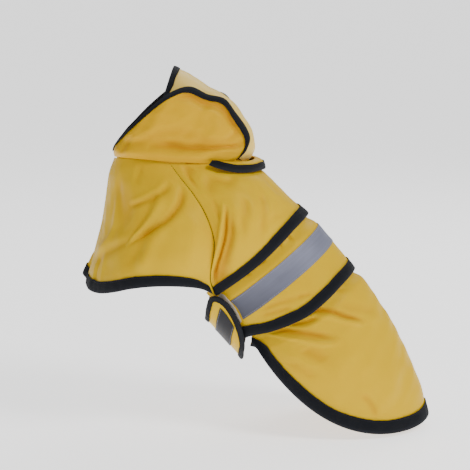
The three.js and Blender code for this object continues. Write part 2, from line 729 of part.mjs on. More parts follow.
// The hood rolls out over the neck seam, with a soft crease above the roll
const ROLL = { out: 5, at: 8, wide: 7 };
const CREASE = { in: 2, at: 22, wide: 5 };
const HOOD_BELLY = 6;
const bump = (d, at, wide) => Math.exp(-(((d - at) / wide) ** 2));
const rollOut = (d, room) =>
  room * (ROLL.out * bump(d, ROLL.at, ROLL.wide) - CREASE.in * bump(d, CREASE.at, CREASE.wide));
const hoodLeft = raised(
  hoodFlat,
  (u, v) => {
    const height = neck(u).distanceTo(rim(u));
    const room = clamp01((height - 8) / 40);
    const loose = room * (1 - 0.8 * smooth(0.72, 0.9, u));
    return rollOut(v * height, loose) + loose * HOOD_BELLY * Math.sin(Math.PI * v);
  },
  1,
);
const HOOD_EDGE = 0.008;
const HOOD_START = 1.7; // clear of the coat's neck edge
const hoodRows = (length) => {
  const share = [0, 0.05, 0.11, 0.19, 0.28, 0.42, 0.6, 0.8, 1];
  const last = Math.max(length - NARROW_BINDING, length * 0.4);
  return [...share.map((k) => lerp(HOOD_START, last, k)), length];
};
const hoodLeftGrid = gridOf(hoodLeft, shares(20, HOOD_EDGE, 1 - HOOD_EDGE), hoodRows, 1);
const flip = (grid) => grid.map((col) => col.map((g) => ({ p: mirrored(g.p), n: mirrored(g.n) })));
const hoodRightGrid = flip(hoodLeftGrid);
add("hood_left", "coat", wall(hoodLeftGrid));
add("hood_right", "coat", wall(hoodRightGrid));
add("hood_binding_left", "binding", bindingOver(hemStations(hoodLeftGrid), NARROW_BINDING));
add("hood_binding_right", "binding", bindingOver(hemStations(hoodRightGrid), NARROW_BINDING));

// The crown's side edges run in under the rims of the sides
const CROWN_FROM = 8; // column of the hood's side where the crown begins
const CROWN_INSET = 3.4;
const CROWN_ARCH = { front: 68, back: 56 }; // degrees of arch from the middle to a side edge
const crownEdge = line(
  hoodLeftGrid.slice(CROWN_FROM).map((col) => {
    const e = col.length - 1;
    return col[e].p.clone().lerp(col[e - 1].p, 0.6).addScaledVector(col[e].n, -CROWN_INSET);
  }),
);
const crownBack = line(HOOD_BACK);
const crownAt = (across, down) => {
  const middle = crownBack(down);
  const side = crownEdge(down);
  const degrees = lerp(CROWN_ARCH.front, CROWN_ARCH.back, smooth(0, 0.35, down));
  const arch = THREE.MathUtils.degToRad(degrees);
  const a = across * arch;
  const p = middle.clone().lerp(side, (1 - Math.cos(a)) / (1 - Math.cos(arch)));
  p.y = (side.y * Math.sin(a)) / Math.sin(arch);
  return p;
};
const crown = (t, v) => crownAt(lerp(-1, 1, t), 1 - v);
const crownGrid = gridOf(crown, shares(14), rowsTo(12, HOOD_START, NARROW_BINDING), -1);
add("hood_crown", "coat", wall(crownGrid));
const archStations = shortened(hemStations(crownGrid), 0.4, 0.4);
add("hood_arch_binding", "binding", bindingOver(archStations, NARROW_BINDING));

// Peak of the hood: a crescent that lies back over the nape, its outer edge turned down
const peakInner = line([...PEAK_INNER, ...PEAK_INNER.slice(0, -1).reverse().map(mirrored)]);
const peakOuter = line([...PEAK_OUTER, ...PEAK_OUTER.slice(0, -1).reverse().map(mirrored)]);
const peak = (u, v) => {
  const inner = peakInner(u);
  const edge = peakOuter(u);
  const crown = edge.clone().setZ(inner.z + PEAK_CROWN);
  return inner
    .multiplyScalar((1 - v) ** 2)
    .addScaledVector(crown, 2 * v * (1 - v))
    .addScaledVector(edge, v * v);
};
const PEAK_BINDING = 9;
const peakGrid = gridOf(peak, shares(20), rowsTo(3, 0, PEAK_BINDING), -1);
add("peak", "coat", wall(peakGrid));
add("peak_binding", "binding", bindingOver(hemStations(peakGrid), PEAK_BINDING));

export default group;
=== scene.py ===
import bpy
import numpy as np
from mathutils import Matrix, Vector


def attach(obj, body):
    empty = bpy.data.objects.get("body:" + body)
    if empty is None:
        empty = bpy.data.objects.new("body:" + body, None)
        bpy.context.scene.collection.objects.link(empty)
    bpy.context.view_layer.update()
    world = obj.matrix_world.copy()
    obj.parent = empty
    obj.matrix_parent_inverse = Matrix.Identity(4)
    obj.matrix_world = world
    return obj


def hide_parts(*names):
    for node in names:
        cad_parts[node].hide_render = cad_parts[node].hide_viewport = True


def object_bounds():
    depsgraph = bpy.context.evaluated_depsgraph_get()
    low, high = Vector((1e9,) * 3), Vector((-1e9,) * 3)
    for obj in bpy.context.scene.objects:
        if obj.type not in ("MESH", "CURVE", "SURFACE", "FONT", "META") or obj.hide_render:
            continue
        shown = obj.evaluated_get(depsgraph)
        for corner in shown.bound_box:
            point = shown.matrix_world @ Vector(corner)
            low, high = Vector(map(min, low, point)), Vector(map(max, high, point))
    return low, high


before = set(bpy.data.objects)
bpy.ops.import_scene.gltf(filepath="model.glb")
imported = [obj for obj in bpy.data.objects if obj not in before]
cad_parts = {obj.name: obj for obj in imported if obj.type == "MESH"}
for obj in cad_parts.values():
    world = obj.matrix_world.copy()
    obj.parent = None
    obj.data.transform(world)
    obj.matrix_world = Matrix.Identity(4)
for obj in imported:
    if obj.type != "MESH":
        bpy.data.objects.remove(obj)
cad_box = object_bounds()

# Yoke: the saddle of the coat, one piece of coated polyester cut in one from the left raglan
# seam over the withers to the right one. It is sewn to the hood at the neck and to the two
# fronts at the raglans, and its lower hem hangs free over the back band.
MM = 0.001
CLOTH_THICK = 0.8
TUBE = {"x": 51.1, "z": -41.4, "slope": 47.8, "half_width": 68, "half_depth": 81, "sink": 2.9}
BAND_WIDTH = 82
TAPE_START = 17.5
TAPE_WIDTH = 25
SIDE_END = 128
LEAN = {
    "round": [0, 40, 60, 80, 95, 110, 127, 145],
    "upper": [0, -4, -4, -4, -5, -6.5, -8, -9],
    "tape": [0, -3, -5, -7, -8.5, -9.5, -11, -12],
    "lower": [0, -4.5, -5.5, -8, -14, -21.5, -31, -34],
}
YOKE_BACK = {
    "x": [-21, -9, 2.4, 10, 20.4, 35, 51.1],
    "z": [16, 12.5, 5.5, -3, -13.7, -27, -41.4],
}
NECK_BACK = {
    "x": [-21, -34, -54, -78, -101],
    "y": [0, -27, -44, -50, -50],
    "z": [16, 18, 20, 21, 22],
}
RAGLAN = {
    "x": [-101, -89.5, -76.5, -65, -57, -52.3, -53, -56, -56.5],
    "y": [-50, -58, -66, -72, -76, -77, -76, -72, -65],
    "z": [22, 7.6, -7.5, -24.4, -41.7, -60, -75, -92, -106],
}
YOKE_SIZE = (190, 105)
YOKE_FOLDS = [
    ([(0.775, 0.42), (0.865, 0.55), (0.93, 0.69), (0.975, 0.93)], (2.4, 5.5), -5.5, -0.45),
    ([(0.76, 0.47), (0.83, 0.64), (0.88, 0.8), (0.93, 0.98)], (4, 14), -4.2, 0),
    ([(0.84, 0.46), (0.945, 0.6), (0.985, 0.78)], (3, 4), 2.2, 0),
    ([(0.8, 0), (0.9, 0.1), (0.92, 0.2)], (7, 4), -2.4, -0.3),
    ([(0.857, 0.27), (0.714, 0.17), (0.606, 0.226), (0.5, 0.2)], (6, 4), -1.6, 0.3),
    ([(0.838, 0.34), (0.892, 0.47)], (6, 6), -1.8, 0.3),
    ([(0.66, 0.35), (0.78, 0.62), (0.8, 0.8)], (9, 11), 1.2, 0),
    ([(0.56, 0.42), (0.73, 0.6)], (6, 7), -1.5, 0.4),
    ([(0.38, 0.45), (0.55, 0.75)], (6, 7), -1.5, 0.4),
    ([(0.3, 0.8), (0.42, 0.72), (0.55, 0.78)], (5, 5), -0.8, 0.3),
    ([(0.16, 0.25), (0.2, 0.6)], (9, 9), -0.9, 0.4),
]


def smooth(a, b, t):
    s = np.clip((t - a) / (b - a), 0, 1)
    return s * s * (3 - 2 * s)


def between(x, start, full, fade, end):
    """Rises from start to full, and falls again from fade to end."""
    return smooth(start, full, x) * (1 - smooth(fade, end, x))


def mix(a, b, t):
    return a + (b - a) * t


def points_of(table):
    xs = np.array(table["x"], float)
    return np.stack([xs, np.array(table.get("y", 0 * xs), float), np.array(table["z"], float)], 1)


def mirrored(p):
    return p * np.array([1.0, -1.0, 1.0])


def unit(x):
    return x / np.linalg.norm(x, axis=-1, keepdims=True)


def gone_along(p):
    """How far along a line each of its points lies."""
    return np.r_[0, np.cumsum(np.linalg.norm(np.diff(p, axis=0), axis=1))]


def read_at(s, gone, p):
    """The places on a line at the distances s."""
    return np.stack([np.interp(s, gone, p[:, k]) for k in range(3)], -1)


def curve_through(p):
    """A smooth line through points, read by share of its length."""
    ends = np.vstack([2 * p[0] - p[1], p, 2 * p[-1] - p[-2]])
    t = np.linspace(0, 1, 40, endpoint=False)[:, None]
    stretches = []
    for i in range(len(p) - 1):
        a, b, c, d = ends[i : i + 4]
        k0, k1, k2 = (np.sqrt(np.linalg.norm(q - r)) for q, r in ((a, b), (b, c), (c, d)))
        t1 = ((b - a) / k0 - (c - a) / (k0 + k1) + (c - b) / k1) * k1
        t2 = ((c - b) / k1 - (d - b) / (k1 + k2) + (d - c) / k2) * k1
        rise = (3 * (c - b) - 2 * t1 - t2) * t**2 + (2 * (b - c) + t1 + t2) * t**3
        stretches.append(b + t1 * t + rise)
    path = np.vstack(stretches + [p[-1:]])
    gone = gone_along(path)
    return lambda share: read_at(np.clip(share, 0, 1) * gone[-1], gone, path)


def line_of(table):
    return curve_through(points_of(table))


def column(table, key, name):
    """A column of a table as a smooth function of another column."""
    x, y = np.array(table[key], float), np.array(table[name], float)
    before, after = np.r_[0, np.arange(len(x) - 1)], np.r_[np.arange(1, len(x)), len(x) - 1]
    tilt = (y[after] - y[before]) / (x[after] - x[before])

    def at(q):
        q = np.asarray(q, float)
        i = np.clip(np.searchsorted(x, q, side="right") - 1, 0, len(x) - 2)
        h = x[i + 1] - x[i]
        t = np.clip((q - x[i]) / h, 0, 1)
        start = (2 * t**3 - 3 * t**2 + 1) * y[i] + (t**3 - 2 * t**2 + t) * h * tilt[i]
        return start + (3 * t**2 - 2 * t**3) * y[i + 1] + (t**3 - t**2) * h * tilt[i + 1]

    return at


def stretched(top, bottom, left, right):
    """A panel between four edges: u runs along the top and bottom, v down the sides."""
    a, b, c, d = top(0.0), top(1.0), bottom(0.0), bottom(1.0)

    def at(u, v):
        s, t = np.asarray(u, float)[..., None], np.asarray(v, float)[..., None]
        flat = a * (1 - s) * (1 - t) + b * s * (1 - t) + c * (1 - s) * t + d * s * t
        across = top(u) * (1 - t) + bottom(u) * t
        return across + left(v) * (1 - s) + right(v) * s - flat

    return at


def normals(surface, u, v, turn):
    e = 1e-3
    a = surface(np.minimum(1, u + e), v) - surface(np.maximum(0, u - e), v)
    b = surface(u, np.minimum(1, v + e)) - surface(u, np.maximum(0, v - e))
    n = np.cross(a, b) * turn
    return n / np.maximum(np.linalg.norm(n, axis=-1, keepdims=True), 1e-9)


def raised(surface, amount, turn):
    return lambda u, v: surface(u, v) + normals(surface, u, v, turn) * amount(u, v)[..., None]


def folds_of(table, size, far=False):
    """Heights of soft folds on a panel. Each has its path in shares of the panel, its width at
    both ends and its depth in mm, and how much of a lip stands along its side."""
    drawn = []
    for path, wide, deep, lip in table:
        line = np.array(path, float)
        if far:
            line, deep = line * (0.96, 0.94) + (0.015, 0.03), 0.8 * deep
        line = curve_through(np.pad(line * size, ((0, 0), (0, 1))))(np.linspace(0, 1, 11))
        drawn.append((line[:, :2], wide, deep, lip))

    def at(u, v):
        u, v = np.broadcast_arrays(u, v)
        q = np.stack([u * size[0], v * size[1]], -1)[..., None, :]
        height = np.zeros(u.shape)
        for line, wide, deep, lip in drawn:
            start, way = line[:-1], np.diff(line, axis=0)
            t = np.clip(((q - start) * way).sum(-1) / (way * way).sum(-1), 0, 1)
            gap = q - start - t[..., None] * way
            away = np.hypot(gap[..., 0], gap[..., 1])
            k = away.argmin(-1)[..., None]
            away = np.take_along_axis(away, k, -1)[..., 0]
            turn = way[:, 0] * gap[..., 1] - way[:, 1] * gap[..., 0]
            x = away * np.sign(np.take_along_axis(turn, k, -1)[..., 0])
            run = (k[..., 0] + np.take_along_axis(t, k, -1)[..., 0]) / len(way)
            x = x / mix(*wide, run)
            fade = np.minimum(1, 0.25 + 5 * run * (1 - run))
            side = abs(lip) * np.exp(-((x - 1.6 * np.sign(lip)) ** 2))
            height += deep * fade * (np.exp(-(x**2)) - side)
        return height

    return at


def fold_shade_of(folds, u, v, full):
    """How deep a fold lies at each place, as a share of full mm: the strength of the painted shade in that
    fold.
    """
    return np.clip(-folds(u, v) / full, 0, 1)


def settling(seed, height, length):
    """The small uneven waves that soft cloth keeps, as a function of place in mm."""
    dice = np.random.default_rng(seed)
    waves = []
    for k in range(9):
        way = dice.normal(size=3)
        way *= (1 + 0.35 * k) / (length * np.linalg.norm(way))
        waves.append((way, dice.uniform(0, 2 * np.pi), height / (1 + 0.5 * k)))
    return lambda p: sum(a * np.sin(2 * np.pi * (p @ way) + turn) for way, turn, a in waves)


def lay_out(surface, us, rows_of, turn):
    """Points and normals of a panel: columns at the shares us, rows at distances down each."""
    fine = np.linspace(0, 1, 97)
    down, across = np.meshgrid(fine, us)
    samples = surface(across, down)
    steps = np.linalg.norm(np.diff(samples, axis=1), axis=2)
    gone = np.hstack([np.zeros((len(us), 1)), np.cumsum(steps, axis=1)])
    rows = rows_of(gone[:, -1], us)
    v = np.array([np.interp(d, g, fine) for d, g in zip(rows, gone)])
    u = np.broadcast_to(us[:, None], v.shape)
    return {"p": surface(u, v), "n": normals(surface, u, v, turn), "u": u, "v": v, "d": rows}


def even_rows(start, cells, end=0.0):
    shares = np.linspace(0, 1, cells + 1)
    return lambda length, us: start + (length[:, None] - start - end) * shares


def placed(name, data):
    thing = bpy.data.objects.new(name, data)
    bpy.context.scene.collection.objects.link(thing)
    return thing


def closed_mesh(name, outer, inner, marks=None):
    """One closed wall between an outer and an inner grid of points in mm."""
    nu, nv = outer.shape[:2]
    verts = np.concatenate([outer.reshape(-1, 3), inner.reshape(-1, 3)]) * MM
    ids = np.arange(nu * nv).reshape(nu, nv)
    a, b, c, d = ids[:-1, :-1], ids[1:, :-1], ids[1:, 1:], ids[:-1, 1:]
    front = np.stack([a, b, c, d], -1).reshape(-1, 4)
    faces = [front, front[:, ::-1] + nu * nv]
    ring = np.concatenate([ids[:, 0], ids[-1, 1:], ids[-2::-1, -1], ids[0, -2:0:-1]])
    after = np.roll(ring, -1)
    faces.append(np.stack([ring, ring + nu * nv, after + nu * nv, after], -1))
    quads = np.concatenate(faces)
    p = verts[quads]
    volume = (p[:, 0] * np.cross(p[:, 1], p[:, 2]) + p[:, 0] * np.cross(p[:, 2], p[:, 3])).sum()
    if volume < 0:
        quads = quads[:, ::-1]
    mesh = bpy.data.meshes.new(name)
    mesh.from_pydata(verts.tolist(), [], quads.tolist())
    mesh.polygons.foreach_set("use_smooth", np.ones(len(quads), bool))
    rim = mesh.attributes.new("sharp_edge", "BOOLEAN", "EDGE")
    pairs = np.zeros(len(mesh.edges) * 2, int)
    mesh.edges.foreach_get("vertices", pairs)
    on_ring = np.zeros(2 * nu * nv, bool)
    on_ring[ring] = True
    on_ring[ring + nu * nv] = True
    pairs = pairs.reshape(-1, 2)
    same = (pairs[:, 0] < nu * nv) == (pairs[:, 1] < nu * nv)
    rim.data.foreach_set("value", on_ring[pairs].all(1) & same)
    run, fall = gone_along(outer[:, nv // 2]), gone_along(outer[nu // 2])
    spread = np.stack(np.meshgrid(run, fall, indexing="ij"), -1)
    flat = np.concatenate([spread.reshape(-1, 2)] * 2) * MM
    corners = np.zeros(len(mesh.loops), int)
    mesh.loops.foreach_get("vertex_index", corners)
    mesh.uv_layers.new(name="cut").data.foreach_set("uv", flat[corners].ravel())
    for mark, values in (marks or {}).items():
        layer = mesh.attributes.new(mark, "FLOAT", "POINT")
        layer.data.foreach_set("value", np.concatenate([values.ravel()] * 2).astype(np.float32))
    return placed(name, mesh)


def stand_for(piece, node):
    """The piece rides on the coat's one body, in the place of a solid, which it hides."""
    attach(piece, "root")
    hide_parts(node)
    return piece


def cloth_piece(node, grid, fold_shade, material):
    """A panel of cloth as a thin shell, in the place of the solid that it is named for."""
    half = 0.5 * CLOTH_THICK * grid["n"]
    # The mark on the points sets how much painted shade each fold of the panel gets.
    piece = closed_mesh(node + "_cloth", grid["p"] + half, grid["p"] - half, {"fold_shade": fold_shade})
    piece.data.materials.append(material)
    return stand_for(piece, node)


def cut_of_sheet(grid):
    """Works out the greatest width and length and the area of a panel laid flat, in metres; none of them
    is returned or kept.
    """
    p = grid["p"] * MM
    width = np.linalg.norm(np.diff(p, axis=0), axis=2).sum(0).max()
    length = np.linalg.norm(np.diff(p, axis=1), axis=2).sum(1).max()
    a, b = p[1:, :-1] - p[:-1, 1:], p[1:, 1:] - p[:-1, :-1]
    area = min(0.5 * np.linalg.norm(np.cross(a, b), axis=2).sum(), width * length)


def node_graph(tree):
    """Short ways to make nodes: each input takes a value, or the socket that feeds it."""

    def feed(made, inputs):
        for label, value in inputs.items():
            if isinstance(value, bpy.types.NodeSocket):
                tree.links.new(value, made.inputs[label])
            else:
                made.inputs[label].default_value = value

    def node(kind, inputs, **settings):
        made = tree.nodes.new(kind)
        for key, value in settings.items():
            setattr(made, key, value)
        feed(made, inputs)
        return made.outputs

    def maths(operation, *values):
        return node("ShaderNodeMath", dict(enumerate(values)), operation=operation)[0]

    return feed, node, maths


def new_group(name, inputs, outputs):
    """A node group: an input without a value is a place, the others and the outputs are numbers."""
    tree = bpy.data.node_groups.new(name, "ShaderNodeTree")
    for label, value in inputs.items():
        kind = "NodeSocketVector" if value is None else "NodeSocketFloat"
        socket = tree.interface.new_socket(label, in_out="INPUT", socket_type=kind)
        if value is not None:
            socket.default_value = value
    for label in outputs:
        tree.interface.new_socket(label, in_out="OUTPUT", socket_type="NodeSocketFloat")
    given, out = tree.nodes.new("NodeGroupInput").outputs, tree.nodes.new("NodeGroupOutput")
    return tree, given, out, *node_graph(tree)


def weave_group():
    """Plain weave: threads over and under, with the spacing in metres of the cut."""
    tree, given, out, feed, node, maths = new_group(
        "plain_weave", {"Cut": None, "Thread": 0.0004}, ["Height"]
    )
    parts = node("ShaderNodeSeparateXYZ", {0: given["Cut"]})
    turns = [maths("DIVIDE", parts[axis], given["Thread"]) for axis in ("X", "Y")]
    threads = [maths("SINE", maths("MULTIPLY", turn, np.pi)) for turn in turns]
    feed(out, {"Height": maths("MULTIPLY_ADD", maths("MULTIPLY", *threads), 0.5, 0.5)})
    return tree


def crumple_group():
    """Handled coated cloth: soft dents, sharper small creases and uneven sheen."""
    tree, given, out, feed, node, maths = new_group(
        "handled_cloth", {"Place": None, "Size": 45.0}, ["Height", "Tone", "Sheen"]
    )

    def noise(size, **inputs):
        return node("ShaderNodeTexNoise", {"Vector": given["Place"], "Scale": size, **inputs})[0]

    dents = noise(given["Size"], Detail=3.0, Roughness=0.45, Distortion=0.4)
    lines = noise(maths("MULTIPLY", given["Size"], 0.55), Detail=1.0, Distortion=1.2)
    sharp = maths("MULTIPLY", maths("ABSOLUTE", maths("SUBTRACT", lines, 0.5)), 2.2)
    feed(out, {
        "Height": maths("MULTIPLY_ADD", sharp, 0.55, dents),
        "Tone": noise(11.0, Detail=2.0),
        "Sheen": maths("MULTIPLY_ADD", dents, 0.22, -0.11),
    })
    return tree


WEAVE = weave_group()
CRUMPLE = crumple_group()


def new_material(name):
    material = bpy.data.materials.new(name)
    material.use_nodes = True
    feed, node, maths = node_graph(material.node_tree)
    place = node("ShaderNodeTexCoord", {})["Object"]
    return material, material.node_tree.nodes["Principled BSDF"], place, feed, node, maths


def woven(node, thread):
    """The place on the cut, and the height of a weave with threads that far apart."""
    cut = node("ShaderNodeUVMap", {}, uv_map="cut")[0]
    return cut, node("ShaderNodeGroup", {"Cut": cut, "Thread": thread}, node_tree=WEAVE)["Height"]


def marked(node, mark):
    return node("ShaderNodeAttribute", {}, attribute_name=mark)["Fac"]


def colour_between(node, share, *ends):
    a, b = (end if isinstance(end, bpy.types.NodeSocket) else (*end, 1) for end in ends)
    return node("ShaderNodeMix", {"Factor": share, "A": a, "B": b}, data_type="RGBA")["Result"]


def raised_by(node, height, strength, distance, under=None):
    inputs = {"Height": height, "Strength": strength, "Distance": distance}
    if under is not None:
        inputs["Normal"] = under
    return node("ShaderNodeBump", inputs)[0]


def rain_cloth(name, bright, shade, deep):
    """Coated polyester: close plain weave and soft sheen, with painted shade, darker and warmer, where a
    fold lies deep.
    """
    material, shader, place, feed, node, maths = new_material(name)
    threads = woven(node, 0.00045)[1]
    crumple = node("ShaderNodeGroup", {"Place": place, "Size": 38.0}, node_tree=CRUMPLE)
    # The tone drifts at random between the first two colours; the third colour is painted shade for the
    # folds.
    base = colour_between(node, crumple["Tone"], shade, bright)
    dents = raised_by(node, crumple["Height"], 0.5, 0.0012)
    feed(shader, {
        # Painted shade: where a fold lies deep, the mark on the mesh mixes in the deep colour.
        "Base Color": colour_between(node, marked(node, "fold_shade"), base, deep),
        "Roughness": maths("ADD", crumple["Sheen"], 0.42),
        "Normal": raised_by(node, threads, 0.35, 0.00006, dents),
        "Subsurface Weight": 0.08,
        "Subsurface Radius": (1.0, 0.5, 0.1),
        "Subsurface Scale": 0.003,
        "Specular IOR Level": 0.16,
        "Specular Tint": (1, 0.8, 0.3, 1),
    })
    return material


# Two tones of the yellow cloth, and a deeper orange that is painted shade in the folds.
COAT = rain_cloth("yellow_rain_cloth", (0.72, 0.46, 0), (0.66, 0.4, 0), (0.48, 0.18, 0))

slope = np.radians(TUBE["slope"])
to_tail = np.array([np.cos(slope), 0, -np.sin(slope)])
to_belly = np.array([-np.sin(slope), 0, -np.cos(slope)])
lean_upper, lean_tape, lean_lower = (column(LEAN, "round", part) for part in ("upper", "tape", "lower"))


def body_lean(degrees, down):
    r = np.abs(degrees)
    upper = mix(lean_upper(r), lean_tape(r), down / TAPE_START)
    past = np.clip((down - TAPE_START - TAPE_WIDTH) / (BAND_WIDTH - TAPE_START - TAPE_WIDTH), 0, 1)
    return np.where(down < TAPE_START, upper, mix(lean_tape(r), lean_lower(r), past))


def tube_point(degrees, down, lean, off=0.0):
    """A place on the body: degrees round from the back line, distance down from the yoke's hem."""
    a = np.radians(degrees)
    sink = TUBE["sink"] * np.clip(down / BAND_WIDTH, 0, 1) ** 3
    side = (TUBE["half_width"] + off) * np.sin(a)
    under = sink + TUBE["half_depth"] * (1 - np.cos(a)) - off * np.cos(a)
    along = np.asarray(down + lean)[..., None] * to_tail + np.asarray(under)[..., None] * to_belly
    start = np.stack([0 * side + TUBE["x"], -side, 0 * side + TUBE["z"]], -1)
    return start + along


def band_point(degrees, down):
    return tube_point(degrees, down, body_lean(degrees, down))


def two_sided(left, right=None):
    """Both halves of a panel from its left half, or from one half for each side: -1 at the
    right end, 0 at the back line."""

    def at(t, v):
        across = 2 * t - 1
        near, far = left(np.abs(across), v), (right or left)(np.abs(across), v)
        return np.where((across < 0)[..., None], mirrored(far), near)

    return at


side_end = band_point(np.array(float(SIDE_END)), np.array(0.0))
neck_back = line_of(NECK_BACK)
raglan = curve_through(np.vstack([points_of(RAGLAN), side_end]))
yoke_hem = lambda t: band_point(SIDE_END * np.clip(t, 0, 1), np.zeros_like(t * 1.0))
yoke_half = stretched(neck_back, yoke_hem, line_of(YOKE_BACK), raglan)
yoke_waves = settling(3, 0.32, 46)


def yoke_height(folds):
    def at(u, v):
        off_seam = (1 - u) * YOKE_SIZE[0]
        held = between(v, 0, 0.12, 0.8, 0.95) * (1 - smooth(0.93, 1, u))
        free = between(v, 0, 0.05, 0.88, 0.98) * smooth(0, 5, off_seam)
        return free * folds(u, v) + held * yoke_waves(yoke_half(u, v)) + seam_dip(off_seam)

    return at


def seam_dip(distance, deep=0.9, wide=1.8):
    """A sewn edge is drawn down into its seam."""
    return -deep * np.exp(-((distance / wide) ** 2))


yoke_near, yoke_far = (folds_of(YOKE_FOLDS, YOKE_SIZE, far) for far in (False, True))
yoke_left = raised(yoke_half, yoke_height(yoke_near), 1)
yoke = two_sided(yoke_left, raised(yoke_half, yoke_height(yoke_far), 1))
SEAM = 0.0018
yoke_grid = lay_out(yoke, np.linspace(SEAM, 1 - SEAM, 220), even_rows(0.5, 60), 1)
yoke_fold_shade = fold_shade_of(yoke_near, np.abs(2 * yoke_grid["u"] - 1), yoke_grid["v"], 7)
yoke_piece = cloth_piece("yoke", yoke_grid, yoke_fold_shade, COAT)

# Binding of the yoke's hem: black woven tape 24 mm wide, folded in half over the raw edge and
# sewn through all layers 1.6 mm from its inner edge with black thread.
BINDING = 12
TAPE_LEG = 0.7
STITCH_INSET = 1.6
MOST_SLANT = 2.6


def binding_tape(name, black, worn):
    """Folded woven tape: fine cross ribs, matt, a little paler where the fold rubs."""
    material, shader, place, feed, node, maths = new_material(name)
    cut, threads = woven(node, 0.0005)
    ribs = maths("SINE", maths("MULTIPLY", node("ShaderNodeSeparateXYZ", {0: cut})["X"], 5200.0))
    lint = node("ShaderNodeTexNoise", {"Vector": place, "Scale": 90.0, "Detail": 4.0})[0]
    fine = raised_by(node, maths("MULTIPLY_ADD", ribs, 0.5, threads), 0.6, 0.00012)
    feed(shader, {
        "Base Color": colour_between(node, maths("MULTIPLY", lint, marked(node, "rub")), black, worn),
        "Roughness": maths("MULTIPLY_ADD", lint, 0.25, 0.62),
        "Normal": raised_by(node, lint, 0.35, 0.0006, fine),
        "Specular IOR Level": 0.12,
        "Sheen Weight": 0.03,
        "Sheen Roughness": 0.5,
    })
    return material


TAPE_BLACK = binding_tape("black_binding_tape", (0.005, 0.006, 0.009), (0.022, 0.024, 0.03))


def stations_at_hem(surface, us, width, turn, slanted=False):
    """Along a hem: the edge, and the place a binding's width up the panel, square to the edge."""
    e = 0.01
    one = np.ones_like(us)
    along = surface(np.minimum(1, us + e), one) - surface(np.maximum(0, us - e), one)
    down = surface(us, one) - surface(us, one - e)
    along, down = unit(along), unit(down)
    lean = np.linalg.norm(np.cross(along, down), axis=1)
    slant = 1 / np.maximum(1 / MOST_SLANT, lean) if slanted else one

    def rows(length, us):
        return np.stack([length - np.minimum(width * slant, 0.6 * length), length], 1)

    grid = lay_out(surface, us, rows, turn)
    p, n = grid["p"], grid["n"]
    return {"edge": p[:, 1], "edge_n": n[:, 1], "in": p[:, 0], "in_n": n[:, 0]}


def stations_along(p, n, width):
    """The same along any line: the binding reaches a width to its right."""
    into = np.cross(n, np.gradient(p, axis=0))
    into *= -width / np.linalg.norm(into, axis=1, keepdims=True)
    return {"edge": p, "edge_n": n, "in": p + into, "in_n": n}


def part_of(stations, start, end, count):
    """The same stations, cut at shares of their run and spaced evenly."""
    gone = gone_along(stations["edge"])
    s = np.linspace(start * gone[-1], end * gone[-1], count)
    return {k: read_at(s, gone, x) for k, x in stations.items()}


def fold_over(name, stations, width, seed, out):
    """Tape folded over an edge: two legs with a round fold, softly puckered by its stitches."""
    dice = np.random.default_rng(seed)
    count = len(stations["edge"])
    turn = np.linspace(0, np.pi, 7)[1:-1]
    leg = np.array([1, 0.86, 0.72, 0.45, 0.2, 0.04])
    crown = np.array([0, -0.38, -0.1, 0.12, 0.1, 0])
    deep_out = np.r_[leg * width, -np.sin(turn) * 1.3, leg[::-1] * width]
    rise_out = np.r_[out + crown, out * np.cos(turn), -out - crown[::-1]]
    low = out - TAPE_LEG
    deep_in = np.r_[leg * width, -np.sin(turn) * 0.5, leg[::-1] * width]
    rise_in = np.r_[low + crown, low * np.cos(turn), -low - crown[::-1]]
    pull = np.convolve(dice.normal(size=count + 8), np.ones(9) / 9, "valid") * 0.9
    pucker = 1 + 0.07 * np.convolve(dice.normal(size=count + 2), np.ones(3) / 3, "valid")

    def ring(deep, rise):
        t = deep[None, :, None] / width
        slack = (pull[:, None] * np.clip(t[:, :, 0], 0, 1))[..., None] / width
        edge, inner = stations["edge"][:, None], stations["in"][:, None]
        n = unit(mix(stations["edge_n"][:, None], stations["in_n"][:, None], np.clip(t, 0, 1)))
        return edge + (inner - edge) * (t + slack) + n * (rise[None, :, None] * pucker[:, None, None])

    rub = np.exp(-((np.r_[leg * width, 0 * turn, leg[::-1] * width] / 2.2) ** 2))
    marks = {"rub": np.broadcast_to(rub, (count, len(rub)))}
    piece = closed_mesh(name, ring(deep_out, rise_out), ring(deep_in, rise_in), marks)
    piece.data.materials.append(TAPE_BLACK)
    return piece


def thread_material(name, colour):
    """Spun thread with a fine fibre grain."""
    material, shader, place, feed, node, _ = new_material(name)
    fibre = node("ShaderNodeTexNoise", {"Vector": place, "Scale": 900.0})[0]
    pale = [min(1, 1.35 * c + 0.01) for c in colour]
    feed(shader, {
        "Base Color": colour_between(node, fibre, colour, pale),
        "Normal": raised_by(node, fibre, 1.0, 0.0001),
        "Roughness": 0.6,
        "Specular IOR Level": 0.2,
    })
    return material


THREAD_BLACK = thread_material("black_thread", (0.008, 0.008, 0.01))


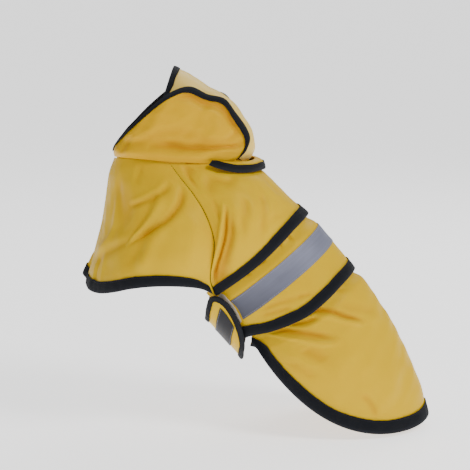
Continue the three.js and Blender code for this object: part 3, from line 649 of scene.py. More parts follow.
def stitch_row(name, paths, material, pitch=3.2, thick=0.5):
    """A run of lockstitches along each path of points and normals, as one mesh."""
    verts, faces = [], []
    sides, step = 6, 0.4
    half = [[-0.42, 0.25, -0.35], [-0.34, 0.8, 0.1], [0, 1, 0.42]]
    shape = np.array(half + [[-run, wide, rise] for run, wide, rise in half[1::-1]])
    for p, n in paths:
        gone = gone_along(p)
        count = max(1, int(gone[-1] / pitch))
        for s in (np.arange(count) + 0.5) * gone[-1] / count:
            here, ahead, up = (read_at(q, gone, x) for q, x in ((s, p), (s + step, p), (s, n)))
            way = ahead - here if s + step < gone[-1] else here - ahead + 1e-6
            way = way / np.linalg.norm(way) if np.linalg.norm(way) > 1e-9 else np.array([1.0, 0, 0])
            cross = np.cross(up, way)
            first = len(verts)
            for run, wide, rise in shape:
                for k in range(sides):
                    a = 2 * np.pi * k / sides
                    spot = here + way * run * pitch + up * (rise * thick + 0.5 * thick * wide * np.sin(a))
                    verts.append((spot + cross * 0.5 * thick * wide * np.cos(a)) * MM)
            for j in range(len(shape) - 1):
                for k in range(sides):
                    q = first + j * sides
                    faces.append((q + k, q + (k + 1) % sides, q + sides + (k + 1) % sides, q + sides + k))
            faces.append(tuple(first + k for k in range(sides))[::-1])
            last = first + (len(shape) - 1) * sides
            faces.append(tuple(last + k for k in range(sides)))
    mesh = bpy.data.meshes.new(name)
    mesh.from_pydata([tuple(v) for v in verts], [], faces)
    mesh.polygons.foreach_set("use_smooth", np.ones(len(faces), bool))
    mesh.validate()
    mesh.materials.append(material)
    piece = placed(name, mesh)
    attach(piece, "root")
    return piece


def sewn_line(stations, width, rise):
    """The stitch line of a binding, near the inner edge of its outer leg."""
    t = (width - STITCH_INSET) / width
    n = unit(mix(stations["edge_n"], stations["in_n"], t))
    return stations["edge"] + (stations["in"] - stations["edge"]) * t + n * rise, n


def bound_edge(name, node, stations, width, seed, out=1.9):
    """A binding and its stitches, for one edge."""
    tape = stand_for(fold_over(name, stations, width, seed, out), node)
    line = sewn_line(stations, width, out - 0.3)
    return [tape, stitch_row(name + "_stitches", [line], THREAD_BLACK)]


yoke_edge = stations_at_hem(yoke, np.linspace(SEAM, 1 - SEAM, 150), BINDING, 1)
yoke_trim = bound_edge("yoke_hem_binding", "yoke_binding", yoke_edge, BINDING, 11)

# Fronts: left and right cape of the chest, coated polyester, each cut from the centre front
# round to its raglan seam. The left one laps 18 mm over the right, and both hems stand free.
NECK_FRONT = {
    "x": [-164, -158, -142, -121, -101],
    "y": [0, -21, -38, -47, -50],
    "z": [22, 24, 25, 24, 22],
}
CENTRE_FRONT = {
    "x": [-164, -170.3, -172.8, -175.8, -179.5, -184.9, -190.3, -196, -197.5],
    "z": [22, 5, -10.2, -30.5, -51, -71.5, -92, -112, -121],
}
FRONT_HEM = {
    "x": [-197.5, -192.4, -180.5, -162, -144.7, -122, -100, -79, -66],
    "y": [0, -20, -40, -62, -75, -83, -86, -81, -71],
    "z": [-121, -123.6, -123.3, -117.5, -111.4, -107, -105.8, -108, -112.5],
}
FRONT_FOLDS = [
    ([(0.93, 0.23), (0.764, 0.4), (0.641, 0.51), (0.525, 0.575), (0.42, 0.64)], (4, 2.6), -4.4, 0),
    ([(0.7, 0.31), (0.583, 0.452), (0.486, 0.558), (0.405, 0.638)], (6, 2.4), 3.6, 0.35),
    ([(0.822, 0.2), (0.695, 0.286), (0.552, 0.342), (0.39, 0.377)], (3.6, 2.6), -2.6, 0.45),
    ([(0.66, 0.53), (0.575, 0.64), (0.564, 0.74), (0.525, 0.87)], (7, 10), 3.4, 0.5),
    ([(0.402, 0.623), (0.247, 0.678), (0.05, 0.79)], (4, 7), -1.5, 0.4),
    ([(0.24, 0.18), (0.405, 0.48)], (22, 20), -2.6, 0),
    ([(0.24, 0.3), (0.208, 0.573), (0.08, 0.73)], (6, 5), 1.6, 0),
    ([(0.143, 0.74), (0.15, 0.93)], (3.5, 3), -1.2, 0.5),
    ([(0.193, 0.7), (0.224, 0.93)], (4, 4), 0.9, 0),
    ([(0.884, 0.44), (0.819, 0.69), (0.822, 0.84)], (8, 9), 0.9, 0),
    ([(0.62, 0.05), (0.5, 0.2)], (5, 5), -1.2, 0.4),
]
LAP = 18
LAP_INSET = 4.9
CORNER_OUT = 12
CORNER_UP = 8
FRONT_SIZE = (190, 140)
front_hem = curve_through(np.vstack([points_of(FRONT_HEM), side_end]))
neck_front = line_of(NECK_FRONT)
front_half = stretched(neck_front, front_hem, line_of(CENTRE_FRONT), raglan)
front_folds = folds_of(FRONT_FOLDS, FRONT_SIZE)
front_waves = settling(8, 0.3, 50)


def front_height(u, v):
    held = between(u, 0, 0.08, 0.9, 0.98) * between(v, 0, 0.1, 0.85, 0.95)
    folds = smooth(0, 0.06, v) * front_folds(u, v)
    return folds + held * front_waves(front_half(u, v)) + seam_dip((1 - u) * FRONT_SIZE[0])


front_left = raised(front_half, front_height, -1)


def front_right(t, v):
    """The right front runs in under the left one at the chest, and its corner stands forward."""
    u = mix(-LAP / FRONT_SIZE[0], 1, t)
    p = front_left(np.abs(u), v)
    under = 1 - smooth(0.02, 0.12, u)
    corner = between(u, 0.01, 0.1, 0.12, 0.4) * v**3
    n = normals(front_left, np.abs(u), v, -1)
    p = p + n * (CORNER_OUT * corner - LAP_INSET * under)[..., None]
    p = p + np.array([0, 0, CORNER_UP]) * corner[..., None]
    return np.where((u < 0)[..., None], p, mirrored(p))


FRONT_SEAM = 0.0024
front_shares = np.linspace(0, 1 - FRONT_SEAM, 110)
fronts = {}
for side, surface, turn, seed in (("left", front_left, -1, 21), ("right", front_right, 1, 22)):
    grid = lay_out(surface, front_shares, even_rows(0.5, 74), turn)
    across = grid["u"] if side == "left" else np.abs(mix(-LAP / FRONT_SIZE[0], 1, grid["u"]))
    piece = cloth_piece("front_" + side, grid, fold_shade_of(front_folds, across, grid["v"], 10), COAT)
    edge = part_of(stations_at_hem(surface, front_shares, BINDING, turn), 0, 0.965, 90)
    trims = bound_edge("front_" + side + "_hem_binding", "front_binding_" + side, edge, BINDING, seed)
    fronts[side] = {"piece": piece, "grid": grid, "trims": trims}

# Raglan seams: fronts and yoke are sewn together face to face from the neck to the hem. The
# seam shows as a sharp dark line, with the black thread lying in the groove. Inside, the two
# seam allowances lie pressed open, 4 mm to each side.
SEAM_SINK = 0.55
ALLOWANCE = {"reach": 4, "low": -2.7, "thick": 0.9}
seam_run = np.linspace(0.02, 0.985, 160)
seam_n = normals(yoke_half, 0 * seam_run + 1, seam_run, 1)
seam_p = raglan(seam_run) - SEAM_SINK * seam_n
raglan_threads = stitch_row(
    "raglan_seam_threads",
    [(seam_p, seam_n), (mirrored(seam_p), mirrored(seam_n))],
    THREAD_BLACK, pitch=2.4, thick=0.75,
)


def laid_on(name, node, surface, us, rows, turn, low, thick, material, shade=None):
    """A strip that lies on a panel: made from its points, moved out. The last function marks where its
    colour is painted darker, as painted shade.
    """
    grid = lay_out(surface, us, rows, turn)
    middle = grid["p"] + (low + thick / 2) * grid["n"]
    half = 0.5 * thick * grid["n"]
    marks = {"under": shade(middle)} if shade else None
    piece = closed_mesh(name, middle + half, middle - half, marks)
    piece.data.materials.append(material)
    return stand_for(piece, node), grid


def seam_allowance(t, v):
    """Across the left raglan seam: 0 on the front, 1 on the yoke, 4 mm off the seam each way."""
    seam = raglan(v)
    ways = (unit(panel(0 * v + 0.97, v) - seam) for panel in (front_half, yoke_half))
    out = 2 * ALLOWANCE["reach"] * np.abs(t - 0.5)[..., None]
    return seam + out * np.where((t < 0.5)[..., None], *ways)


allowances = [
    laid_on("raglan_allowance_" + side, "yoke", across, np.linspace(0, 1, 9), even_rows(6, 60, 9), turn,
            ALLOWANCE["low"], ALLOWANCE["thick"], COAT)[0]
    for side, across, turn in (
        ("left", seam_allowance, -1), ("right", lambda t, v: mirrored(seam_allowance(t, v)), 1),
    )
]

# Chest closure: two strips of hook-and-loop tape 14 mm wide in the lap of the fronts, the hook
# sewn inside the left front and the loop on the right one. Shut, they hardly show.
CHEST_TAPE = {"u": (0.016, 0.088), "v": (0.14, 0.74)}
TRIM_THICK = 1.0


def hook_and_loop(name, pale, dark):
    """Hook-and-loop tape: a matt fuzzy pile in close rows."""
    material, shader, place, feed, node, maths = new_material(name)
    fuzz = node("ShaderNodeTexNoise", {"Vector": place, "Scale": 1400.0, "Detail": 2.0})[0]
    pile = maths("MULTIPLY", fuzz, woven(node, 0.0012)[1])
    feed(shader, {
        "Base Color": colour_between(node, pile, dark, pale),
        "Normal": raised_by(node, pile, 1.0, 0.0004),
        "Roughness": 0.95,
        "Sheen Weight": 0.4,
    })
    return material


BEIGE_TAPE = hook_and_loop("beige_hook_and_loop", (0.86, 0.8, 0.7), (0.55, 0.47, 0.36))


def chest_place(u, v):
    return front_left(mix(*CHEST_TAPE["u"], u), mix(*CHEST_TAPE["v"], v))


chest_low = 1.05
chest_hook, chest_loop = (
    laid_on(name, name + "_tape", chest_place, np.linspace(0, 1, 7), even_rows(0, 36), -1,
            low, TRIM_THICK, BEIGE_TAPE)[0]
    for name, low in (("chest_hook", -chest_low - TRIM_THICK), ("chest_loop", chest_low - LAP_INSET))
)
for side, tape in (("left", chest_hook), ("right", chest_loop)):
    front = fronts[side]
    cut_of_sheet(front["grid"])
cut_of_sheet(yoke_grid)

# Back band: the girth piece behind the shoulders, coated polyester. Its top runs in under the
# yoke's hem, its right end is sewn to the belly strap, and its left end meets the strap's end.
UNDERLAP = 8
TUCK = 4
TUCK_FADE = 16
STRAP_SEAM = 231
BAND_RIGHT_END = STRAP_SEAM - 360
BAND_LEFT_END = 138
BAND_FOLDS = [
    ([(0.656, 0.06), (0.662, 0.17)], (2.4, 2), -1.5, 0.3),
    ([(0.79, 0.07), (0.77, 0.12)], (3, 2.4), -1.6, 0.3),
    ([(0.70, 0.06), (0.705, 0.14)], (2.4, 2), -1.2, 0.3),
    ([(0.84, 0.06), (0.835, 0.15)], (2.4, 2), -1.2, 0.3),
    ([(0.8, 0.8), (0.83, 0.77), (0.89, 0.68)], (4, 4), -1.3, 0.4),
    ([(0.77, 0.76), (0.822, 0.67), (0.88, 0.6)], (4, 4), -1.0, 0.4),
    ([(0.736, 0.82), (0.775, 0.74)], (3, 3), -1.0, 0.4),
    ([(0.32, 0.06), (0.325, 0.16)], (2.4, 2), -1.3, 0.3),
    ([(0.24, 0.07), (0.23, 0.15)], (3, 2.4), -1.5, 0.3),
    ([(0.22, 0.8), (0.16, 0.7)], (4, 4), -1.2, 0.4),
    ([(0.28, 0.82), (0.24, 0.74)], (3, 4), -0.9, 0.4),
]


def tuck_share(distance):
    return 1 - smooth(UNDERLAP + 2, UNDERLAP + TUCK_FADE, distance)


def band_flat(t, v):
    degrees = mix(BAND_RIGHT_END, BAND_LEFT_END, t)
    return band_point(degrees, mix(-UNDERLAP, BAND_WIDTH, v))


BAND_SIZE = (340, 90)
band_folds = folds_of(BAND_FOLDS, BAND_SIZE)
band_waves = settling(14, 0.22, 42)


def band_height(u, v):
    free = between(v, 0.2, 0.35, 0.8, 0.9)
    tuck = TUCK * tuck_share(v * (UNDERLAP + BAND_WIDTH))
    return band_folds(u, v) + free * band_waves(band_flat(u, v)) - tuck


band = raised(band_flat, band_height, 1)
band_shares = np.linspace(0, 1, 230)
band_grid = lay_out(band, band_shares, even_rows(0, 56), 1)
band_fold_shade = fold_shade_of(band_folds, band_grid["u"], band_grid["v"], 3)
band_piece = cloth_piece("back_band", band_grid, band_fold_shade, COAT)
band_edge = part_of(stations_at_hem(band, band_shares, BINDING, 1), 0.01, 0.993, 150)
band_trims = bound_edge("back_band_binding", "band_binding", band_edge, BINDING, 31)

# Belly strap: a tongue of the coat's cloth, 61 mm wide, that goes from the band's right end
# under the belly and up the left side, where its rounded end closes on the band.
STRAP_FRONT = 1
STRAP_REAR = 62
STRAP_BINDING = 5
STRAP_SEAM_GAP = 1.3
STRAP_RUN = {
    "round": [118, 127, 140, 158, 180, 205, 220, 232],
    "lean": [-17, -13.5, -4, 7, 10, 5, -4, -11],
    "off": [6, 6.1, 6.2, 4, 1.4, 0.4, 0.1, 0],
}
STRAP_END = {
    "across": [0, 0.03, 0.1, 0.22, 0.4, 0.62, 0.8, 0.91, 0.97, 1],
    "round": [133, 129, 125.4, 122.8, 121.9, 124, 127.6, 131.6, 136, 141],
}
strap_lean = column(STRAP_RUN, "round", "lean")
strap_off = column(STRAP_RUN, "round", "off")
strap_end = column(STRAP_END, "across", "round")


def strap(u, v):
    degrees = mix(strap_end(v), STRAP_SEAM - STRAP_SEAM_GAP, u)
    down = mix(STRAP_FRONT, STRAP_REAR, v)
    return tube_point(degrees, down, strap_lean(degrees), strap_off(degrees))


strap_us = np.r_[np.linspace(0, 0.12, 10), np.linspace(0.12, 1, 50)[1:]]
strap_grid = lay_out(strap, strap_us, even_rows(0, 26), 1)
strap_piece = cloth_piece("belly_strap", strap_grid, 0 * strap_grid["u"], COAT)
rim_p, rim_n = (
    np.concatenate([x[::-1, 0], x[0, 1:-1], x[:, -1]]) for x in (strap_grid["p"], strap_grid["n"])
)
strap_edge = part_of(stations_along(rim_p, rim_n, STRAP_BINDING), 0.008, 0.992, 190)
strap_trims = bound_edge("belly_strap_binding", "strap_binding", strap_edge, STRAP_BINDING, 33, out=1.7)

# Strap closure: beige loop tape sewn on the band, hook tape under the strap's end. A narrow
# line of the loop tape shows past the strap.
PATCH_PEEK = 0.8
PATCH_REACH = 12
HOOK_START = 7
LOOP_ACROSS = (0.09, 0.78)
HOOK_ACROSS = (0.15, 0.69)


def on_band(degrees, down):
    share = (degrees - BAND_RIGHT_END) / (BAND_LEFT_END - BAND_RIGHT_END)
    return band(share, (down + UNDERLAP) / (BAND_WIDTH + UNDERLAP))


def loop_place(u, v):
    across = mix(*LOOP_ACROSS, v)
    degrees = strap_end(across) + mix(-PATCH_PEEK, PATCH_REACH, u)
    down = mix(STRAP_FRONT, STRAP_REAR, across) + strap_lean(degrees) - body_lean(degrees, 30 + 0 * across)
    return on_band(degrees, down)


def hook_place(u, v):
    across = mix(*HOOK_ACROSS, v)
    start = mix(HOOK_START, HOOK_START + PATCH_REACH, u)
    return strap(start / (STRAP_SEAM - strap_end(across)), across)


patch_shares = np.linspace(0, 1, 10)
strap_loop, strap_hook = (
    laid_on(name, name + "_tape", place, patch_shares, even_rows(0, rows), 1,
            low, TRIM_THICK, BEIGE_TAPE)[0]
    for name, place, rows, low in (
        ("strap_loop", loop_place, 22, 0.7), ("strap_hook", hook_place, 18, -1.1 - TRIM_THICK),
    )
)

# Reflective tape: 25 mm wide grey glass-bead tape, sewn along both edges round the band and
# on along the belly strap. Painted shade darkens it under the belly, and the strap's tape is a
# darker copy, with painted shade that turns nearly black toward the strap's near end.
def reflective(name, pale, dark, shaded):
    """Glass-bead tape: a satin grey face with a fine grain and faint lengthwise streaks, turned to the
    shaded colour, painted shade, where its mark is set.
    """
    material, shader, place, feed, node, maths = new_material(name)
    cut = node("ShaderNodeUVMap", {}, uv_map="cut")[0]
    beads = node("ShaderNodeTexVoronoi", {"Vector": cut, "Scale": 5200.0})["Distance"]
    drawn = node("ShaderNodeMapping", {"Vector": cut, "Scale": (20, 260, 1)})[0]
    streaks = node("ShaderNodeTexNoise", {"Vector": drawn, "Scale": 1.0, "Detail": 4.0})[0]
    crumple = node("ShaderNodeGroup", {"Place": place, "Size": 60.0}, node_tree=CRUMPLE)
    grain = maths("MULTIPLY_ADD", beads, 0.35, streaks)
    face = colour_between(node, grain, dark, pale)
    fine = raised_by(node, beads, 0.25, 0.00005)
    feed(shader, {
        "Base Color": colour_between(node, marked(node, "under"), face, shaded),
        "Roughness": maths("MULTIPLY_ADD", grain, 0.2, 0.36),
        "Normal": raised_by(node, crumple["Height"], 0.35, 0.0007, fine),
        "Metallic": 0.2,
        "Specular IOR Level": 0.2,
    })
    return material


# The third colour of each tape is painted shade; the strap's tape is a whole copy painted darker.
GREY_TAPE = reflective("grey_reflective_tape", (0.23, 0.24, 0.32), (0.14, 0.145, 0.19),
                       (0.063, 0.065, 0.086))
SHADED_TAPE = reflective("shaded_reflective_tape", (0.085, 0.088, 0.11), (0.06, 0.062, 0.08),
                         (0.018, 0.018, 0.022))
TAPE_THICK = 0.5
TAPE_LOW = 0.75
TAPE_SEWN = {"in": 1.5, "rise": 1.2}
TAPE_ACROSS = (0.27, 0.68)


def tape_on_band(t, v):
    down = mix(TAPE_START, TAPE_START + TAPE_WIDTH, v)
    end = strap_end(mix(*TAPE_ACROSS, v)) - PATCH_PEEK - 1
    return on_band(mix(BAND_RIGHT_END, end, t), down)


def tape_on_strap(u, v):
    down = mix(TAPE_START, TAPE_START + TAPE_WIDTH, v)
    across = (down - STRAP_FRONT) / (STRAP_REAR - STRAP_FRONT)
    return strap(mix(HOOK_START / (STRAP_SEAM - strap_end(across)), 1, u), across)


def tape_edges(grid):
    """Stitch lines a little way in from both long edges of a tape."""
    lines = []
    for near, inner in ((0, 1), (-1, -2)):
        edge = grid["p"][:, near]
        way = unit(grid["p"][:, inner] - edge)
        n = grid["n"][:, near]
        lines.append((edge + TAPE_SEWN["in"] * way + TAPE_SEWN["rise"] * n, n))
    return lines


THREAD_GREY = thread_material("grey_thread", (0.3, 0.31, 0.36))
# Painted shade: the band's tape darkens from 70 to 160 mm down, and the strap's tape darkens toward its
# end on the left side.
(back_tape, back_tape_grid), (strap_tape, strap_tape_grid) = (
    laid_on(name, node, place, np.linspace(0, 1, columns), even_rows(0, 10), 1,
            TAPE_LOW, TAPE_THICK, material, shade)
    for name, node, place, columns, material, shade in (
        ("back_band_tape", "reflective_tape_back", tape_on_band, 140, GREY_TAPE,
         lambda p: smooth(-70, -160, p[..., 2])),
        ("belly_strap_tape", "reflective_tape_strap", tape_on_strap, 50, SHADED_TAPE,
         lambda p: smooth(50, -50, p[..., 1])),
    )
)
tape_lines = tape_edges(back_tape_grid) + tape_edges(strap_tape_grid)
tape_threads = stitch_row("tape_stitches", tape_lines, THREAD_GREY, pitch=2.8, thick=0.35)
cut_of_sheet(band_grid)
cut_of_sheet(strap_grid)

# Rear panel: the long rounded tail of the coat, coated polyester cut in one. It is sewn in
# under the band's hem and hangs free over the rump, its edge bound all round.
TAIL = {"x": 190.5, "z": -271, "half_length": 124, "half_width": 74, "rise": 95, "dip": 9.5}
REAR_BINDING = 14.5
REAR_TUCK = 4.8
THIGH_ROOM = 7
REAR_BACK = {
    "x": [115.5, 131, 146, 161, 173, 182, 190.5],
    "z": [-116.5, -138, -162, -190, -217, -240, -271],
}
REAR_FOLDS = [
    ([(0.61, 0.03), (0.486, 0.121), (0.417, 0.206), (0.324, 0.286)], (3.8, 2.6), -4.2, -0.45),
    ([(0.741, 0.07), (0.664, 0.106), (0.56, 0.116)], (3.6, 2.6), -3.2, -0.45),
    ([(0.853, 0.085), (0.695, 0.181), (0.544, 0.291)], (7, 3.6), -3.4, -0.45),
    ([(0.896, 0.14), (0.753, 0.205), (0.61, 0.315), (0.533, 0.33)], (3.5, 3), 1.4, 0),
    ([(0.71, 0.33), (0.622, 0.45)], (9, 9), -1.8, -0.3),
    ([(0.498, 0.72), (0.467, 0.8), (0.459, 0.88)], (4, 3), -1.8, 0.4),
    ([(0.378, 0.03), (0.297, 0.07)], (3, 3), -1.2, -0.4),
    ([(0.317, 0.025), (0.228, 0.05)], (3, 3), -1.0, -0.4),
    ([(0.205, 0.6), (0.3, 0.7), (0.39, 0.8)], (13, 10), 1.8, 0),
    ([(0.417, 0.136), (0.181, 0.302)], (6, 5), -0.9, -0.4),
    ([(0.8, 0.5), (0.7, 0.62)], (12, 10), -1.0, 0),
]
REAR_SIZE = (190, 170)


def straight(a, b):
    return lambda v: mix(a, b, np.asarray(v, float)[..., None])


def rear_hem(t):
    a = np.radians(SIDE_END * np.clip(t, 0, 1))
    share = (1 - np.cos(a)) / (1 - np.cos(np.radians(SIDE_END)))
    rise = TAIL["rise"] * share**3 - TAIL["dip"] * np.sin(np.pi * share**0.62)
    x = TAIL["x"] - TAIL["half_length"] * (1 - np.cos(a))
    return np.stack([x, -TAIL["half_width"] * np.sin(a), TAIL["z"] + rise], -1)


def rear_top(t):
    return band_point(SIDE_END * np.clip(t, 0, 1), BAND_WIDTH - UNDERLAP + 0.0 * t)


rear_back = curve_through(np.vstack([rear_top(np.array(0.0)), points_of(REAR_BACK)]))
rear_side = straight(rear_top(np.array(1.0)), rear_hem(np.array(1.0)))
rear_half = stretched(rear_top, rear_hem, rear_back, rear_side)
rear_near, rear_far = (folds_of(REAR_FOLDS, REAR_SIZE, far) for far in (False, True))
rear_waves = settling(27, 0.4, 60)


def rear_height(folds):
    def at(u, v):
        length = np.linalg.norm(rear_top(u) - rear_hem(u), axis=-1)
        thigh = THIGH_ROOM * np.sin(np.pi * v) ** 2 * between(u, 0.15, 0.5, 0.75, 1)
        free = smooth(6, 14, v * length) * smooth(15, 32, (1 - v) * length)
        loose = smooth(20, 45, v * length) * free
        soft = free * folds(u, v) + loose * rear_waves(rear_half(u, v))
        return thigh + soft - REAR_TUCK * tuck_share(v * length)

    return at


def flat_under(grid, stations):
    """The same panel, drawn straight where the binding grips it."""
    reach = np.linalg.norm(stations["edge"] - stations["in"], axis=1)[:, None, None]
    share = (grid["d"][:, -1:] - grid["d"])[..., None] / reach
    t = np.clip(share, 0, 1)
    gripped = smooth(1.25, 0.95, share)
    p = mix(grid["p"], mix(stations["edge"][:, None], stations["in"][:, None], t), gripped)
    n = mix(grid["n"], mix(stations["edge_n"][:, None], stations["in_n"][:, None], t), gripped)
    return {**grid, "p": p, "n": unit(n)}


rear = two_sided(*(raised(rear_half, rear_height(folds), 1) for folds in (rear_near, rear_far)))
rear_shares = np.linspace(0, 1, 220)
rear_hem_line = stations_at_hem(rear, rear_shares, REAR_BINDING, 1, slanted=True)
rear_grid = flat_under(lay_out(rear, rear_shares, even_rows(0, 92), 1), rear_hem_line)
rear_fold_shade = fold_shade_of(rear_near, np.abs(2 * rear_grid["u"] - 1), rear_grid["v"], 5)
rear_piece = cloth_piece("rear_panel", rear_grid, rear_fold_shade, COAT)
rear_edge = part_of(rear_hem_line, 0, 1, 220)
rear_trims = bound_edge("rear_panel_binding", "rear_binding", rear_edge, REAR_BINDING, 41)
cut_of_sheet(rear_grid)

# Hood: two sides of coated polyester from the neck seam up to a bound rim, and between them
# the crown, turned back off the head. The sides roll out softly over the neck seam.
HOOD_RIM = {
    "x": [-163, -157, -142, -122, -100, -79, -60, -42, -31, -18, -14.5, -18, -26],
    "y": [-4, -24, -42, -50, -49, -42, -35, -31, -29, -25, -24, -27, -29],
    "z": [34, 44, 60, 80, 97, 103, 94, 89, 75, 56, 45, 34, 25],
}
HOOD_BACK = {
    "x": [-97, -82, -62, -49, -35.5, -24.5, -15.5, -9, -8, -12.5, -21],
    "z": [122, 115.5, 102.5, 95.5, 86, 74.5, 60, 44.5, 31, 22, 16.5],
}
HOOD_FOLDS = [
    ([(0.42, 0.24), (0.552, 0.23), (0.734, 0.27), (0.876, 0.56), (0.9, 0.82)], (4.5, 3.5), -3.2, -0.4),
    ([(0.47, 0.9), (0.62, 0.89), (0.76, 0.88), (0.86, 0.82)], (3.5, 6), -4.2, 0),
    ([(0.3, 0.36), (0.5, 0.42), (0.72, 0.4)], (7, 6), -1.2, 0.4),
    ([(0.66, 0.3), (0.8, 0.5), (0.84, 0.85)], (5, 4), -1.3, 0.4),
    ([(0.5, 0.62), (0.7, 0.9)], (9, 8), 1.0, 0),
    ([(0.2, 0.2), (0.24, 0.7)], (7, 7), -1.1, 0.3),
    ([(0.36, 0.5), (0.4, 0.85)], (8, 8), 0.9, 0.3),
]
ROLL = {"out": 5, "at": 8, "wide": 7}
CREASE = {"in": 2, "at": 22, "wide": 5}
HOOD_BELLY = 6
HOOD_SIZE = (190, 80)
HOOD_SPAN = (0.008, 0.992)
HOOD_BINDING = 6
HOOD_START = 1.7
SIDE_SHARE = 0.82
# Painted shade: the hood's cloth is a darker, more orange copy of the coat's cloth, and its third colour
# is painted shade for the folds.
HOOD_CLOTH = rain_cloth("yellow_hood_cloth", (0.70, 0.405, 0), (0.64, 0.35, 0), (0.48, 0.17, 0))
neck_line = curve_through(np.vstack([points_of(NECK_FRONT), points_of(NECK_BACK)[-2::-1]]))
neck = lambda t: neck_line(SIDE_SHARE * t)
rim = line_of(HOOD_RIM)
hood_flat = stretched(neck, rim, straight(neck(0.0), rim(0.0)), straight(neck(1.0), rim(1.0)))
hood_folds = folds_of(HOOD_FOLDS, HOOD_SIZE)
hood_waves = settling(33, 0.35, 34)


def hood_height(u, v):
    height = np.linalg.norm(neck(u) - rim(u), axis=-1)
    room = np.clip((height - 8) / 40, 0, 1)
    loose = room * (1 - 0.8 * smooth(0.72, 0.9, u))
    d = v * height
    roll = ROLL["out"] * np.exp(-(((d - ROLL["at"]) / ROLL["wide"]) ** 2))
    fold = CREASE["in"] * np.exp(-(((d - CREASE["at"]) / CREASE["wide"]) ** 2))
    soft = room * between(v, 0.1, 0.25, 0.8, 0.95)
    belly = HOOD_BELLY * np.sin(np.pi * v)
    return loose * (roll - fold + belly) + soft * (hood_folds(u, v) + hood_waves(hood_flat(u, v)))


hood_left = raised(hood_flat, hood_height, 1)
hood_right = lambda u, v: mirrored(hood_left(u, v))
hood_shares = np.linspace(*HOOD_SPAN, 121)
hood_sides = {}
for side, surface, turn, seed in (("left", hood_left, 1, 51), ("right", hood_right, -1, 52)):
    grid = lay_out(surface, hood_shares, even_rows(HOOD_START, 46), turn)
    # Painted shade: the folds darken the cloth by their full depth, also near the rim where their shape is
    # softened, so the trough along the rim is painted darker than its shape alone shows.
    fold_shade = fold_shade_of(hood_folds, grid["u"], grid["v"], 6)
    piece = cloth_piece("hood_" + side, grid, fold_shade, HOOD_CLOTH)
    edge = stations_at_hem(surface, hood_shares, HOOD_BINDING, turn)
    trims = bound_edge("hood_" + side + "_binding", "hood_binding_" + side, edge, HOOD_BINDING, seed)
    cut_of_sheet(grid)
    hood_sides[side] = {"grid": grid, "edge": edge}

# Hood crown: the middle panel, turned back and standing off between the sides. Its cloth is a
# paler copy of the coat's, painted light for the light from behind. Its front arch is bound like the rims.
CROWN_FROM = 0.4
CROWN_INSET = 3.4
CROWN_ARCH = {"front": 68, "back": 56}
CROWN_CLOTH_PAINTED_LIGHT = rain_cloth("yellow_crown_cloth_painted_light", (0.86, 0.62, 0.16), (0.8, 0.54, 0.1), (0.6, 0.3, 0.02))
side_edge = hood_sides["left"]["edge"]
kept = hood_shares >= mix(*HOOD_SPAN, CROWN_FROM) - 1e-6
joined = mix(side_edge["edge"], side_edge["in"], 0.6) - CROWN_INSET * side_edge["edge_n"]
crown_side = curve_through(joined[kept][::4])
crown_back = line_of(HOOD_BACK)


def crown(t, v):
    down, across = 1 - np.asarray(v, float), 2 * np.asarray(t, float) - 1
    middle, side = crown_back(down), crown_side(down)
    arch = np.radians(mix(CROWN_ARCH["front"], CROWN_ARCH["back"], smooth(0, 0.35, down)))
    a = across * arch
    p = mix(middle, side, ((1 - np.cos(a)) / (1 - np.cos(arch)))[..., None])
    width = side[..., 1] * np.sin(a) / np.sin(arch)
    return np.stack([p[..., 0], width, p[..., 2]], -1)


crown_waves = settling(61, 0.3, 30)


def crown_height(u, v):
    free = between(u, 0.05, 0.2, 0.8, 0.95) * between(v, 0, 0.1, 0.85, 0.95)
    return free * crown_waves(crown(u, v))


crown_shares = np.linspace(0, 1, 46)
crown_soft = raised(crown, crown_height, -1)
crown_grid = lay_out(crown_soft, crown_shares, even_rows(HOOD_START, 56), -1)
crown_piece = cloth_piece("hood_crown", crown_grid, 0 * crown_grid["u"], CROWN_CLOTH_PAINTED_LIGHT)
arch_edge = part_of(stations_at_hem(crown_soft, crown_shares, HOOD_BINDING, -1), 0.04, 0.96, 60)
arch_trims = bound_edge("hood_arch_tape", "hood_arch_binding", arch_edge, HOOD_BINDING, 62)
cut_of_sheet(crown_grid)

# Peak: a small crescent sewn to the back of the hood that lies back over the nape. Its outer
# edge is turned down and bound with a narrow fold of the black tape.
PEAK_INNER = {
    "x": [-52, -39, -25, -12, -8],
    "y": [-51, -44, -35.5, -20, 0],
    "z": [24, 22.5, 21.5, 21, 21],
}
PEAK_OUTER = {
    "x": [-58, -45, -30, -14, -3, 2.5],
    "y": [-54, -55, -49, -37, -20, 0],
    "z": [21, 16.6, 12.7, 11.2, 11.2, 10.8],
}
PEAK_CROWN = 1
PEAK_BINDING = 6.8


def both_sides(table):
    p = points_of(table)
    return curve_through(np.vstack([p, mirrored(p[-2::-1])]))


peak_inner, peak_outer = both_sides(PEAK_INNER), both_sides(PEAK_OUTER)


def peak(u, v):
    t = np.asarray(v, float)[..., None]
    inner, edge = peak_inner(u), peak_outer(u)
    crest = np.concatenate([edge[..., :2], inner[..., 2:] + PEAK_CROWN], -1)
    return inner * (1 - t) ** 2 + crest * 2 * t * (1 - t) + edge * t * t


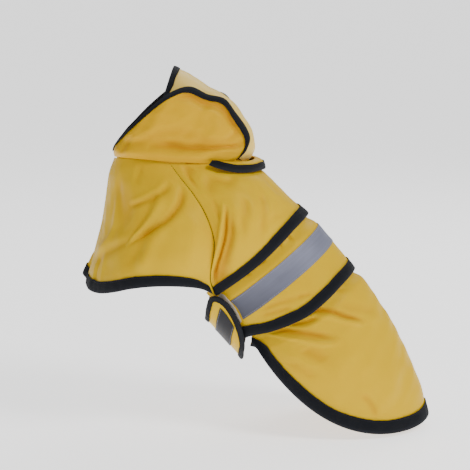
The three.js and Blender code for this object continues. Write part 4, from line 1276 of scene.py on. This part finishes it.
peak_shares = np.linspace(0, 1, 80)
peak_grid = lay_out(peak, peak_shares, even_rows(0, 8), -1)
peak_piece = cloth_piece("peak", peak_grid, 0 * peak_grid["u"], COAT)
peak_edge = stations_at_hem(peak, peak_shares, PEAK_BINDING, -1)
peak_trims = bound_edge("peak_edge_binding", "peak_binding", peak_edge, PEAK_BINDING, 71)
cut_of_sheet(peak_grid)

# Studio: a pale floor under a pale sky, a large soft light high up on the left toward the tail,
# a weaker one on the right, and the camera square to the left side, a little above it.
FLOOR_DROP = 0.004
CAMERA_AIM = Vector((-0.030, 0, -0.066))
CAMERA_AWAY = 1.70
CAMERA_RISE = 10
CAMERA_LENS = 115.7
floor_mesh = bpy.data.meshes.new("studio_floor")
low = cad_box[0][2] - FLOOR_DROP
floor_mesh.from_pydata([(-30, -8, low), (30, -8, low), (30, 60, low), (-30, 60, low)], [], [(0, 1, 2, 3)])
floor_paint = bpy.data.materials.new("pale_floor")
floor_paint.use_nodes = True
for socket, value in (
    ("Base Color", (0.9, 0.9, 0.91, 1)), ("Roughness", 0.7),
    ("Emission Color", (1, 1, 1, 1)), ("Emission Strength", 1.3),
):
    floor_paint.node_tree.nodes["Principled BSDF"].inputs[socket].default_value = value
floor_mesh.materials.append(floor_paint)
placed("studio_floor", floor_mesh)
sky = bpy.data.worlds.new("pale_studio")
bpy.context.scene.world = sky
sky.use_nodes = True
sky.node_tree.nodes["Background"].inputs["Color"].default_value = (1, 1, 1, 1)
sky.node_tree.nodes["Background"].inputs["Strength"].default_value = 0.36
for label, spot, size, power in (
    ("soft_key", (1.3, -1.0, 1.5), 0.7, 31),
    ("soft_back", (0.4, 1.3, 1.2), 1.0, 11),
):
    lamp = bpy.data.lights.new(label, "AREA")
    lamp.size = size
    lamp.energy = power
    light = placed(label, lamp)
    light.location = spot
    light.rotation_euler = (CAMERA_AIM - Vector(spot)).to_track_quat("-Z", "Y").to_euler()
lens = bpy.data.cameras.new("side_camera")
lens.sensor_width = 36
lens.lens = CAMERA_LENS
camera = placed("side_camera", lens)
rise = np.radians(CAMERA_RISE)
camera.location = CAMERA_AIM + CAMERA_AWAY * Vector((0, -np.cos(rise), np.sin(rise)))
camera.rotation_euler = (CAMERA_AIM - camera.location).to_track_quat("-Z", "Y").to_euler()
bpy.context.scene.camera = camera
